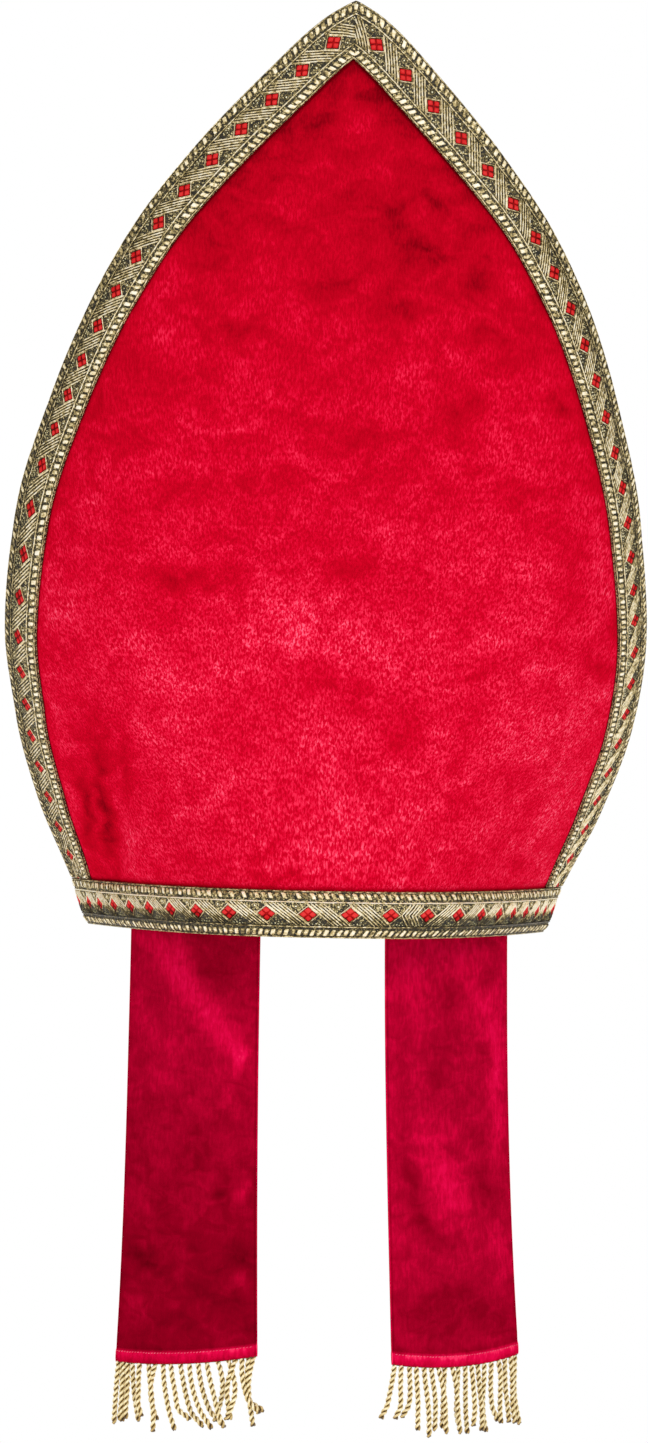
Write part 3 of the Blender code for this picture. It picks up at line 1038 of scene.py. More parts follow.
@dataclass
class BraidRepeat:
    """One repeat of the braid's figure, in millimetres: a diamond, strokes and borders."""

    pitch: float = 15.8
    width: float = 18.6
    line_at: float = 4.45  # middle of the thin gold line beside each border
    border: tuple[float, float] = (0.8, 3.35)
    blocks: int = 6  # plaited, lighter and darker by turns
    lean: float = 1.1  # how far a block's inner side is ahead of its outer one
    half_long: float = 3.6
    half_high: float = 2.95
    strokes: int = 5
    stroke_pitch: float = 1.58

    def gold(self, hand: Hand) -> Relief:
        """Lay out the gold threads: borders, lines, strokes and the diamond's outline.

        Args:
            hand: which way the strokes run.

        Returns:
            The threads.
        """
        made, p, w = Relief(), self.pitch, self.width
        low, high = self.border
        for i in range(self.blocks):
            a, b = (i + 0.1) * p / self.blocks, (i + 0.78) * p / self.blocks
            block = [(a, low), (b, low), (b + self.lean, high), (a + self.lean, high)]
            for corners in (block, [(x, w - y) for x, y in block]):
                made.pillow(corners, -0.1, 0.6 if i % 2 else 0.42, 0.25, 0.14)
        for y, wide, tall in ((0.32, 0.5, 0.45), (self.line_at, 0.6, 0.6),
                              (w - self.line_at, 0.6, 0.6), (w - 0.32, 0.5, 0.45)):
            made.thread([(x, y) for x in np.linspace(0, p, 7)], wide, tall)
        centre, high = w / 2, w / 2 - self.line_at - 0.55
        slope = self.half_long / self.half_high
        for i in range(self.strokes):
            path = []
            for y in np.linspace(high, -high, 7):
                if hand is Hand.CHEVRON:
                    x = self.half_long + 0.9 + i * 0.9 * self.stroke_pitch + 0.75 * abs(y)
                else:
                    x = self.half_long + 1.15 + i * self.stroke_pitch - slope * y
                path.append((p / 2 + x, centre + (-y if hand is Hand.RISING else y)))
            made.thread(path, 0.62, 0.66, taper=0.8)
        for sx, sy in ((1, 1), (1, -1), (-1, 1), (-1, -1)):
            side = [(p / 2 + sx * (self.half_long + 0.5) * (1 - s), centre + sy * (self.half_high + 0.42) * s)
                    for s in np.linspace(-0.04, 1.04, 5)]
            made.thread(side, 0.42, 0.6)
        x, y = self.knot(hand)
        ring = [(x + 0.95 * math.cos(a), y + 0.85 * math.sin(a)) for a in np.linspace(0, 1.9 * math.pi, 9)]
        made.thread(ring, 0.28, 0.4)
        return made

    def knot(self, hand: Hand) -> tuple[float, float]:
        """Place of the cream knot in the triangle above the strokes."""
        return self.pitch / 2 - (-1 if hand is Hand.RISING else 1) * 4.5, self.width / 2 + 3.15

    def silk(self) -> Relief:
        """Lay out the diamond: four small lozenges of red silk with a dark cross between.

        Returns:
            The lozenges, on their ground.
        """
        made, cx, cy = Relief(), self.pitch / 2, self.width / 2
        a, b = self.half_long / 2, self.half_high / 2
        for ox, oy in ((a, 0), (-a, 0), (0, b), (0, -b)):
            lozenge = [(cx + ox - a * 0.86, cy + oy), (cx + ox, cy + oy - b * 0.86),
                       (cx + ox + a * 0.86, cy + oy), (cx + ox, cy + oy + b * 0.86)]
            made.pillow(lozenge, -0.1, 0.5, 0.35, 0.16)
        ground = [(cx - 2 * a, cy), (cx, cy - 2 * b), (cx + 2 * a, cy), (cx, cy + 2 * b)]
        made.pillow(ground, -0.12, 0.22, 0.05, 0.06)
        return made

    def cream(self, hand: Hand) -> Relief:
        """Lay out the cream knot, and the flecks in the triangle below the strokes.

        Args:
            hand: which way the strokes run.

        Returns:
            The knot and the flecks.
        """
        made, sign = Relief(), -1 if hand is Hand.RISING else 1
        flecks = ((3.1, 3.6, 0.42), (4.5, 2.9, 0.34), (1.7, 3.75, 0.3), (4.2, 3.9, 0.36), (5.6, 3.8, 0.3))
        spots = [(self.pitch / 2 + sign * x, self.width / 2 - y, r) for x, y, r in flecks]
        for x, y, r in [(*self.knot(hand), 0.5), *spots]:
            made.pillow([(x - r, y), (x, y - r), (x + r, y), (x, y + r)], -0.1, 0.55, 0.4, 0.2)
        return made


@dataclass(kw_only=True)
class Braid(Assembly):
    """A ribbon with raised threads in three finishes."""

    repeat: BraidRepeat
    far_pitch: float = 15.5  # of the repeats on the side that is not seen, in millimetres
    thick: float = 0.85 * MM
    uneven: float = 0.35 * MM
    # How much darker all of the outer half is, and the part that turns back, as millimetres of crest
    shadow: float
    side_shadow: float

    def threads(self, strip: Strip, tag: str, hand: Hand, values: Mapping[str, Any],
                flipped: float | None = None) -> dict[str, Thing]:
        """Lay the threads of one figure along a strip.

        Args:
            strip: what they lie on.
            tag: the start of the pieces' names.
            hand: which way the strokes run.
            values: the node tree's inputs that differ from strip to strip.
            flipped: a width to mirror the figure in.

        Returns:
            The threads by finish.
        """
        reliefs = {"gold": self.repeat.gold(hand), "silk": self.repeat.silk(), "cream": self.repeat.cream(hand)}
        shared = {"Pitch": self.repeat.pitch * MM, "Unevenness": self.uneven,
                  "Shadow": self.shadow, "Side Shadow": self.side_shadow, **values}
        return {kind: strip.lay(f"{tag}_{kind}", relief, {**shared, "Finish": self.looks[kind]}, flipped)
                for kind, relief in reliefs.items()}


@dataclass(kw_only=True)
class EdgeBraid(Braid):
    """The braid up one edge of a horn, mitred at the tip and down the other edge."""

    side: str
    mirrored: bool
    crowned: float = 0.35 * MM
    cells: int = 12
    spacing: float = 2.0 * MM
    reach: float = 4.0 * MM  # past the middle line, where the mitre is cut
    shadow: float = 0.03
    side_shadow: float = 0.22
    # Of the left and the right edge: where the outermost threads end and where a diamond's middle lies
    selvedges: tuple[float, float] = (0.04, 0.2)
    phases: tuple[float, float] = (0.62, 0.63)
    # Heights and the repeats' pitch there, in millimetres, as it was eased round the bends by hand
    pitches: tuple[Table, Table] = (
        ((20, 15), (60, 15.8), (95, 15.6), (106, 16.4), (120, 18.1), (135, 19.2), (152, 19.9), (166, 19.6),
         (177, 16.6), (190, 14.3), (240, 14.5), (262, 14.8), (290, 15.3), (350, 15.3)),
        ((20, 17), (36, 15.9), (60, 14.8), (95, 14.9), (118, 14.8), (129, 13.4), (145, 14.9), (200, 14.9),
         (265, 14.8), (285, 15.7), (350, 15.9)),
    )

    def half(self, right: bool) -> dict[str, Thing]:
        """Make one edge's ribbon and threads, on the left, and mirror them if it is the right.

        Args:
            right: make the right edge's.

        Returns:
            The ribbon and the threads by finish.
        """
        form, pitch = self.form, self.repeat.pitch * MM
        heights = form.edge_heights(self.spacing, form.apex - 0.05 * MM)[::-1]
        points, normals = form.braid_rows(heights, self.cells, False)
        valid, middle = points[..., 0] < self.reach, points[:, self.cells // 2]
        table = ((0, self.far_pitch), (350, self.far_pitch)) if self.mirrored else self.pitches[right]
        eased = looked_up(table, (middle[1:, 2] + middle[:-1, 2]) / 2 / MM)
        run = summed(strides(middle) / eased * self.repeat.pitch)
        run = run - np.interp(0.0, -middle[:40, 0], run[:40])
        top = self.thick + form.gap + self.crowned * np.sin(np.linspace(0, math.pi, self.cells + 1)) ** 0.7
        strip = Strip(points + normals * top[:, None], normals, run, form.braid_width, valid)
        tag = f"{self.side}_{'right' if right else 'left'}"
        made = self.threads(strip, tag, Hand.FALLING, {
            "Count": int(run[-1] / pitch + 3), "First": (self.phases[right] - 0.5 - 1) * pitch,
            "Selvedge": self.selvedges[right],
        }, self.repeat.width if right else None)
        # Rows that run past the mitre stop there
        clipped, out = points.copy(), normals.copy()
        for i in range(1, self.cells + 1):
            late = ~valid[:, i]
            clipped[late, i], out[late, i] = clipped[late, i - 1], out[late, i - 1]
        cloth, kept = Cloth(), valid[:, 0]
        cloth.add(clipped[kept], out[kept], top)
        made["ground"] = cloth.closed(f"{tag}_ground", form.gap)
        for thing in made.values():
            cut_at_middle(thing)
            if right:
                reshaped(thing, mirrored_in(0))
        return made

    def build(self) -> None:
        """Make the whole braid: its ribbon, and its threads in three finishes."""
        left, right = self.half(False), self.half(True)
        pieces = {}
        for kind in ("ground", "gold", "silk", "cream"):
            pieces[kind] = joined(f"{self.side}_edge_braid_{kind}", [left[kind], right[kind]])
            self.stand(pieces[kind], self.mirrored)
            self.dress(pieces[kind], [kind], "braid", f"{self.side}_edge_braid")


@dataclass(kw_only=True)
class RimBand(Braid):
    """The level braid round both horns."""

    bulge: float = 2.3 * MM
    tuck: float = 1.1 * MM  # how far its lower edge turns in
    columns: int = 14
    stations: int = 121  # along each horn
    overlap: int = 11  # rows laid twice, so that no thread ends where the loop closes
    roll: float = 1.45  # above 1 the fullest part lies above the middle
    shadow: float = 0.08
    side_shadow: float = 0.34
    shine: float = 0.16  # how much lighter the figure's upper half is, as millimetres of crest
    selvedge: float = 0.2
    splice_x: float = 27.0 * MM
    diamond_x: float = -6.8 * MM
    # Places across and the repeats' pitch there, in millimetres, on the side where the lappets hang
    pitches: Table = (
        (-96, 13.9), (-62, 14.2), (-48, 15.2), (-22, 15.9), (25, 16), (48, 16.6), (58, 14.6), (68, 13.2),
        (75, 11.6), (82, 13.4), (96, 13),
    )

    def loop(self) -> tuple[Array, Array]:
        """Go round the band, from the front's middle over -X, back and +X.

        Returns:
            The points there, and their normals.
        """
        form = self.form
        z = np.linspace(0, form.rim_height, self.columns + 1)
        x = bunched(self.stations)[:, None] * form.half_width(z)
        z = np.broadcast_to(z, x.shape)
        half, turned, round_band = self.stations // 2, mirrored_in(1), []
        for back in (form.point(x, z), form.normal(x, z)):
            front = turned(back)[::-1]
            round_band.append(np.concatenate([front[half:], back[1:], front[1 : half + 1]]))
        return round_band[0], round_band[1]

    def build(self) -> None:
        """Make the band: its ribbon, and its threads in three finishes."""
        form, pitch = self.form, self.repeat.pitch * MM
        points, normals = self.loop()
        across = np.linspace(0, 1, self.columns + 1)
        swell = self.bulge * np.sin(math.pi * across**self.roll) ** 0.75
        top = form.gap + self.thick + swell - self.tuck * (1 - smooth_step(across / 0.16))
        # Its ends are pressed flat where the horns meet
        pressed = smooth_step((np.abs(points[:, 0, 0]) / form.half_width(0.0) - 0.86) / 0.13)
        top = top - 0.9 * swell * pressed[:, None]
        raised = points + normals * top[..., None]
        middle = raised[:, self.columns // 2]
        between = (middle[1:] + middle[:-1]) / 2
        near = between[:, 1] < 0
        eased = np.where(near, looked_up(self.pitches, between[:, 0] / MM), self.far_pitch)
        steps = strides(middle) / (eased * MM)
        # The far side takes up what a whole number of repeats needs
        repeats, seen = round(steps.sum()), steps[near].sum()
        steps[~near] *= (repeats - seen) / (steps.sum() - seen)
        run = summed(steps) * pitch
        again = slice(1, self.overlap + 1)
        strip = Strip(*(np.concatenate([rows, rows[again]]) for rows in (raised, normals)),
                      np.concatenate([run, run[-1] + run[again]]), self.repeat.width * MM)
        on_back = middle[:, 1] < 0
        splice, diamond = np.interp((self.splice_x, self.diamond_x), middle[on_back, 0], run[on_back]) / pitch
        phase = (diamond - 0.5) % 1.0
        turn = int(splice - phase)
        parts: dict[str, list[Thing]] = {"gold": [], "silk": [], "cream": []}
        for first, end, hand in ((0, turn, Hand.FALLING), (turn, turn + 1, Hand.CHEVRON),
                                 (turn + 1, repeats, Hand.RISING)):
            values = {"Count": end - first, "First": (first + phase) * pitch,
                      "Selvedge": self.selvedge, "Shine": self.shine}
            for kind, piece in self.threads(strip, f"rim_{first}", hand, values).items():
                parts[kind].append(piece)
        pieces = {kind: joined(f"rim_band_{kind}", things) for kind, things in parts.items()}
        cloth = Cloth()
        # Painted light on the ribbon's ground: lighter across the figure's upper half, and painted shade across
        # its lower part
        lit = smooth_step((across - 0.42) / 0.12) * (1 - smooth_step((across - 0.77) / 0.05))
        cloth.add(points, normals, top, 0.12 * lit - 0.12 * (1 - smooth_step((across - 0.3) / 0.3)))
        pieces["ground"] = cloth.closed("rim_band_ground", form.gap)
        for kind, piece in pieces.items():
            self.dress(piece, [kind], "braid", "rim_band")
        log.info("rim band: %d repeats, the strokes turn at repeat %d", repeats, turn)


# ---------------- horns and gusset


class Brush(NamedTuple):
    """A patch of painted sheen or painted shade where the pile was brushed or creased, in millimetres and
    degrees.
    """

    across: float
    height: float
    half_across: float
    half_height: float
    slope: float  # turn of the mark, clockwise as seen
    tone: float  # above 0 lighter


class Dent(NamedTuple):
    """A soft hollow or swelling in the velvet, in millimetres."""

    across: float
    height: float
    half_across: float
    half_height: float
    depth: float


# Painted sheen and shade on the horns' pile: across to the right as seen, height above the rim's lower edge,
# half of each, slope and tone
HORN_MARKS = tuple(starmap(Brush, (
    (-84, 45, 3.5, 26, -8, -0.44), (-91, 45, 2.4, 18, -8, -0.34), (-87.5, 46, 1.6, 12, -8, 0.14),
    (-76, 60, 3, 14, -6, -0.22), (-18, 23, 13, 2.2, 0, -0.28), (13, 22, 9, 2, 0, -0.18),
    (-24, 32, 9, 3, -30, -0.18), (19, 56, 8, 3, 30, -0.14), (26, 74, 6, 5, 0, -0.11), (76, 28, 6, 4, 0, -0.14),
    (-52, 135, 15, 4.5, 0, -0.24), (5, 96, 17, 6, 8, -0.20), (-12, 116, 9, 8, 0, 0.12),
    (14, 138, 22, 5.5, 0, -0.12), (-55, 166, 14, 6, 0, -0.18), (-35, 171, 8, 3, 0, -0.14),
    (-46, 190, 12, 4, 0, 0.12), (-37, 226, 10, 4, 0, -0.22), (17, 197, 26, 13, 0, -0.06),
    (16, 187, 15, 4.5, 0, -0.16), (20, 171, 14, 7, 0, -0.10), (-15, 194, 9, 4, 8, -0.14),
    (43, 195, 4.5, 8, 0, -0.14), (52, 202, 5, 5, 0, -0.16), (82, 200, 4, 3.5, 0, -0.22),
    (49, 226, 8, 4, 0, -0.14), (1, 222, 4, 2.5, 0, -0.18), (23, 234, 6, 2.5, 0, -0.15),
    (-9, 241, 8, 5, 0, -0.16), (50, 244, 8, 5, 20, -0.18), (74, 243, 4, 6, 0, -0.16),
    (28, 254, 11, 4.5, 0, -0.12), (-25, 264, 6, 3.5, 0, -0.15), (20, 266, 8, 3, 50, -0.13),
    (31, 276, 6.5, 2, 40, -0.18), (12, 283, 7, 6, 0, 0.08), (1, 301, 7, 6, 0, 0.10), (19, 302, 8, 5, 0, -0.12),
    (-12, 303, 6, 5, 0, -0.09), (11, 314, 5, 4, 0, -0.10), (-70, 92, 26, 16, 0, 0.03),
    (0, 46, 60, 20, 0, 0.03), (105, 104, 6, 4, 0, -0.24), (-84, 80, 14, 26, 0, -0.13),
    (-64, 172, 26, 10, 0, 0.07),
)))
# Painted sheen where the lappets' pile was brushed, and painted shade in their folds
LEFT_MARKS = tuple(starmap(Brush, (
    (-2, -19, 6.5, 27, -45, 0.36), (16, -40, 7, 12, -40, 0.22), (23.6, -47, 4, 5, 0, 0.40),
    (20, -66, 3.5, 10, -20, 0.20), (-20, -36, 3, 10, -30, 0.16), (-12, -55, 7, 9, 0, 0.10),
    (25, -100, 3.5, 3.5, 0, 0.34), (24, -136, 5, 3.5, 40, 0.26), (-23, -148, 7, 3, 0, 0.16),
    (-23, -124, 6, 5, 40, -0.14), (25, -126, 4, 6, 0, -0.16), (20, -20, 9, 16, -20, -0.10),
    (8, -150, 22, 6, 0, -0.10), (-12, -132, 13, 2.4, 32, -0.22), (14, -141, 12, 2.4, 6, -0.16),
    (16, -102, 3.6, 2.2, 0, -0.26), (8, -88, 5, 7, 0, -0.12), (-14, -116, 9, 6, 0, 0.10),
)))
RIGHT_MARKS = tuple(starmap(Brush, (
    (-21, -8, 8, 20, 0, 0.14), (-3, -23, 7, 9, 0, -0.14), (14, -26, 8, 10, -30, 0.22),
    (22, -64, 4.5, 26, 0, 0.26), (-8, -49, 8, 12, 0, -0.16), (18, -17, 5, 5, 0, -0.20),
    (-5, -97, 9, 20, -18, 0.24), (-18, -107, 4, 20, -18, -0.20), (15, -101, 7, 9, 0, -0.20),
    (13, -79, 9, 5, 0, -0.16), (0, -144, 24, 10, 0, -0.14), (22, -127, 5, 14, 0, 0.14),
    (-24, -60, 3, 30, 0, -0.10), (16, -46, 4, 4.5, 0, -0.18), (-4, -83, 6, 3.4, 0, -0.18),
    (-4, -118, 13, 2.8, 27, -0.18), (14, -141, 8, 5, 0, 0.12),
)))
# Across, height, half of each, and how far out
DENTS = tuple(starmap(Dent, (
    (-80, 30, 5, 20, -1.8), (-70, 34, 6, 22, 0.9), (72, 40, 10, 26, -0.8), (-30, 150, 34, 46, 0.9),
    (34, 190, 30, 44, -0.9), (-20, 246, 26, 30, -0.7), (44, 112, 24, 36, 0.8),
)))


def brushed(marks: Sequence[Brush], x: Array, z: Array) -> Array:
    """Sum the painted sheen and shade that the marks leave.

    Args:
        marks: the marks.
        x: places across, in metres.
        z: heights, in metres.

    Returns:
        The change of tone at each place.
    """
    x, z = x / MM, z / MM
    # Their outlines are ragged
    x, z = (x + 0.8 * np.sin(z / 3.1 + x / 9) + 0.6 * np.sin(z / 1.7 - x / 5),
            z + 1.4 * np.sin(x / 2.7 + z / 8) + 1.0 * np.sin(x / 1.6 - z / 4))
    total = np.zeros(np.broadcast(x, z).shape)
    for mark in marks:
        turn = math.radians(mark.slope)
        right, up = x - mark.across, z - mark.height
        a = (right * math.cos(turn) - up * math.sin(turn)) / mark.half_across
        b = (right * math.sin(turn) + up * math.cos(turn)) / mark.half_height
        total = total + mark.tone * np.exp(-(a * a + b * b))
    return total


@dataclass(kw_only=True)
class Horn(Assembly):
    """One horn's stiffened velvet panel."""

    side: str
    mirrored: bool
    pile: float = 0.9 * MM
    rise: float = 3.0 * MM  # from the braid to where the pile stands full
    spread: float = 9.0 * MM  # and to where its hollows are
    cell: float = 2.4 * MM
    middle_cells: int = 84
    braid_cells: int = 3
    tip_rows: int = 10
    # The tone falls towards the tip, as painted shade
    tones: Table = (  # height and tone
        (0, 0.57), (60, 0.59), (110, 0.57), (150, 0.51), (190, 0.47), (240, 0.41), (280, 0.3), (349, 0.13),
    )

    def swell(self, x: Array, z: Array) -> Array:
        """Find how far the velvet stands in or out of its even form.

        Args:
            x: places across.
            z: heights.

        Returns:
            The way out at each place.
        """
        total = np.zeros(np.broadcast(x, z).shape)
        for dent in DENTS:
            a, b = (x / MM - dent.across) / dent.half_across, (z / MM - dent.height) / dent.half_height
            total = total + dent.depth * MM * np.exp(-(a**2 + b**2))
        return total

    def build(self) -> None:
        """Make the panel: under its braid, the puffed pile between, and behind the rim band."""
        form, cloth, turned = self.form, Cloth(), mirrored_in(0)
        mitre = form.mitre_height()
        below = form.edge_heights(self.cell, mitre)
        heights = np.concatenate([below, np.linspace(mitre, form.apex, self.tip_rows + 1)[1:]])
        left, left_out = form.braid_rows(heights, self.braid_cells, True)
        cloth.add(left, left_out, 0.0, 0.1)
        cloth.add(turned(left[:, ::-1]), turned(left_out[:, ::-1]), 0.0, 0.1)
        inner = left[: len(below), -1]
        x = -inner[:, :1] * bunched(self.middle_cells + 1)
        x[-1] = 0.0
        z = np.broadcast_to(inner[:, 2:], x.shape)
        points, normals = form.point(x, z), form.normal(x, z)
        ends = inner[:, None] * np.where(x[..., None] < 0, (1, 1, 1), (-1, 1, 1))
        reach, up = np.linalg.norm(points - ends, axis=-1), z - form.rim_top
        full, bent = (smooth_step(reach / over) * smooth_step(up / over) for over in (self.rise, self.spread))
        # Painted shade along the braid's inner edge and just above the rim band, where the pile is also pressed
        # down
        pressed = 0.5 * (1 - smooth_step(reach / (2.0 * MM))) + 0.1 * (1 - smooth_step(reach / self.spread))
        pressed = pressed + 0.35 * (1 - smooth_step(up / (1.8 * MM)))
        shade = looked_up(self.tones, z / MM) + brushed(HORN_MARKS, x, z) - pressed
        cloth.add(points, normals, self.pile * full + self.swell(x, z) * bent, shade)
        rim_x = np.concatenate([left[0, :, 0], x[0][1:-1], -left[0, ::-1, 0]])
        rim_z = np.array([0.0, form.rim_height / 2, form.rim_top])
        scale = form.half_width(rim_z) / form.half_width(form.rim_top)
        scale[-1] = 1.0
        rim_x = rim_x * scale[:, None]
        rim_z = np.broadcast_to(rim_z[:, None], rim_x.shape)
        cloth.add(form.point(rim_x, rim_z), form.normal(rim_x, rim_z), 0.0, 0.1)
        made = cloth.closed(f"{self.side}_horn_velvet", -form.wall, lined=True)
        self.stand(made, self.mirrored)
        self.dress(made, ["velvet", "lining"], "velvet", f"{self.side}_horn")


@dataclass(kw_only=True)
class Gusset(Assembly):
    """The cloth between the horns, creased along an arch over the crown."""

    half_width: float = 88.0 * MM
    foot: float = 24.0 * MM
    rise: float = 96.0 * MM
    inset: float = 5.0 * MM
    start: float = 26.0 * MM
    hug: float = 2.6  # above 1 it follows the horns' inner faces for longer
    wall: float = 1.2 * MM
    pucker: float = 0.35 * MM
    skirt: float = 14.0 * MM  # below the foot, behind the rim band
    skirt_rows: int = 5
    rows: int = 88
    cells: int = 30

    def outline(self) -> Array:
        """Go along just inside a horn's edges, from the left foot over the tip to the right.

        Returns:
            The places across and the heights.
        """
        form = self.form
        z = np.linspace(self.start, form.apex, 600)
        here, ahead = form.edge_point(z), form.edge_point(np.minimum(z + form.step, form.apex + form.step))
        run = (ahead - here)[:, [0, 2]]
        inward = unit(np.stack([run[:, 1], -run[:, 0]], axis=1))
        places = here[:, [0, 2]] + inward * self.inset
        past = np.flatnonzero(places[:, 0] >= 0)
        places = places[: past[0]] if len(past) else places
        tip = np.array([[0.0, places[-1, 1] - places[-1, 0] * 0.2]])
        left = np.concatenate([places, tip])
        whole = np.concatenate([left, left[-2::-1] * (-1, 1)])
        run = summed(strides(whole))
        cuts = np.linspace(0, run[-1], self.rows + 1)
        return np.stack([np.interp(cuts, run, column) for column in whole.T], axis=1)

    def build(self) -> None:
        """Make the gusset, with slight puckers running up from its crease."""
        form, edge = self.form, self.outline()
        angle = math.pi * np.arange(self.rows + 1) / self.rows
        arch = np.stack([-self.half_width * np.cos(angle), self.foot + self.rise * np.sin(angle)], axis=1)
        side = np.linspace(-1, 1, 2 * self.cells + 1)
        share = np.abs(side)
        place = arch[:, None] + (edge - arch)[:, None] * share[:, None]
        drop = np.linspace(self.skirt, 0, self.skirt_rows, endpoint=False)[:, None]
        foot = place[:1] - (0, 1) * drop[..., None]
        foot[..., 0] *= form.half_width(foot[..., 1]) / form.half_width(place[:1, :, 1])
        place = np.concatenate([foot, place, foot[::-1] * (-1, 1)])
        angle = np.pad(angle, self.skirt_rows, mode="edge")
        x, z = place[..., 0], place[..., 1]
        clear = form.soft_gap * (1 - smooth_step((share - 0.9) / 0.1))
        inner = form.depth(x, z) - (form.wall + clear) / np.abs(form.normal(x, z)[..., 1])
        grid = np.stack([x, np.sign(side) * (1 - (1 - share) ** self.hug) * inner, z], axis=-1)
        normals = unit(np.cross(np.gradient(grid, axis=0), np.gradient(grid, axis=1)))
        stray = random.Random(5)
        wave = sum(np.sin(angle * k + stray.uniform(0, 6.3)) for k in (9, 14, 23))
        pucker = self.pucker * wave[:, None] * np.exp(-((share - 0.22) / 0.2) ** 2) * np.sin(angle)[:, None]
        cloth = Cloth()
        cloth.add(grid, normals, self.wall + pucker, 0.34 + 0.12 * share)
        made = cloth.closed("crown_gusset", 0.0)
        self.stand(made)
        self.dress(made, ["lining"], "lining_velvet", "gusset")


# ---------------- lappets and fringe


class Cord(NamedTuple):
    """One fringe cord, in millimetres: where it hangs, and how its end strays."""

    root: float  # from the lappet's middle, to the right as seen
    drift: float  # how far its end hangs to the right
    length: float
    hook: float  # how far its last part turns to the right
    bow: float  # how far its middle bends to the right


# Root, drift, length, hook and bow
LEFT_CORDS = tuple(starmap(Cord, (
    (-29.9, -2, 24.4, 0, 0), (-28.2, -1.4, 22.8, 0, 0.5), (-26.7, -1, 23.2, 0, -0.4),
    (-25.2, -0.4, 22, 0, 0.3), (-22.9, 2.2, 22.8, 0, -0.6), (-19.2, 0.9, 21, 1.6, 0.3), (-15, 4, 25.8, 0, 0.8),
    (-11.4, 0.8, 21.8, 0, -2.6), (-8.1, 5.6, 25.4, 0.8, -0.5), (-4.6, 5.4, 22.6, 4.2, 0.5),
    (-0.4, 6.4, 25.2, 2.6, -0.6), (3.6, 8.6, 25, 1, -1), (7.2, 8.2, 25.4, 2.2, -1.4), (10.8, 7.4, 25, 1, 0.4),
    (15, -1.2, 23.4, 0, 2.8), (19.2, 0.6, 22.8, 0, 3.2), (22.8, -0.6, 23.6, -0.8, -3),
    (24.9, 4.6, 21.6, 2.4, -0.8), (27.6, 1.6, 22.4, 3.8, -1.2), (29.6, 0.4, 26.6, 0, -2.2),
)))
RIGHT_CORDS = tuple(starmap(Cord, (
    (-29.6, -3, 21.4, -1.6, 0.6), (-26.6, -1.2, 20.8, -1.8, -0.6), (-23.2, -0.4, 20.4, -1.6, 0.4),
    (-20.1, 1.4, 24.4, 0, -0.6), (-16.8, 2.6, 27, 0, 0.4), (-13.6, 1.6, 24.8, 0.6, 1.4),
    (-10.2, 4.2, 25.6, 0, 0.3), (-7, 1.4, 24.2, -0.8, -0.5), (-3.6, 4.2, 26, 0, 0.6),
    (-0.4, 1.2, 23.6, 1, -0.3), (3, 2.4, 26.6, 0, 0.6), (6.3, 0.8, 23.8, -0.8, -0.6), (9.4, 1.2, 25.8, 0, 0.8),
    (13, 1.4, 27, 0, -0.8), (16.8, 2.2, 24.6, 2, 0.4), (20.4, 1.6, 24.8, 0, -0.5), (24, 2.6, 25.4, 0, 0.8),
    (27.2, 3, 26.8, 0.8, -0.5), (29.8, 3.8, 27.6, 0, -0.8),
)))


@cache
def cord_tree() -> Tree:
    """Build the tree that twists two plies about each line of a curve.

    Returns:
        The tree.
    """
    tree, node, given = started(
        "twist_two_plies", Geometry="Geometry", Float="Ply Radius, Twist Radius, Twist Pitch, Spacing",
        Int="Sides", Material="Finish",
    )
    line = node("GeometryNodeResampleCurve", {"Curve": given["Geometry"], "Length": given["Spacing"]},
                mode="LENGTH")
    along = node("GeometryNodeSplineParameter", out=None)
    line = node("GeometryNodeStoreNamedAttribute",
                {"Geometry": line, "Name": "toward_end", "Value": along["Factor"]},
                data_type="FLOAT", domain="POINT")
    turns = node("Math DIVIDE", (along["Length"], given["Twist Pitch"]))
    angle = node("Math MULTIPLY", (turns, 2 * math.pi))
    normal = node("GeometryNodeInputNormal")
    other = node("VectorMath CROSS_PRODUCT", (node("GeometryNodeInputTangent"), normal))
    ring = node("GeometryNodeCurvePrimitiveCircle",
                {"Resolution": given["Sides"], "Radius": given["Ply Radius"]})
    plies = []
    for half_turn in (0, math.pi):
        here = node("Math ADD", (angle, half_turn))
        a, b = (node("VectorMath SCALE", {0: way, "Scale": node(f"Math {wave}", [here])})
                for way, wave in ((normal, "COSINE"), (other, "SINE")))
        out = node("VectorMath SCALE", {0: node("VectorMath ADD", (a, b)), "Scale": given["Twist Radius"]})
        ply = node("GeometryNodeSetPosition", {"Geometry": line, "Offset": out})
        plies.append(node("GeometryNodeCurveToMesh", {"Curve": ply, "Profile Curve": ring, "Fill Caps": True}))
    both = node("GeometryNodeJoinGeometry", {0: plies})
    core = node("GeometryNodeCurveToMesh", {"Curve": line})
    # The distance from the cord's middle line becomes its crest: painted shade between the plies, a painted
    # highlight on their tops
    crest = node("GeometryNodeProximity", [core], "Distance", target_element="EDGES")
    crest = node("Math MULTIPLY", (crest, 1000))
    end = node("GeometryNodeInputNamedAttribute", ["toward_end"], data_type="FLOAT")
    worn = node("MapRange", {"Value": end, "From Min": 0.9, "To Max": 0.3})
    crest = node("Math SUBTRACT", (crest, worn))
    done = node("GeometryNodeStoreNamedAttribute", {"Geometry": both, "Name": "crest", "Value": crest},
                data_type="FLOAT", domain="POINT")
    ended(node, given, done)
    return tree


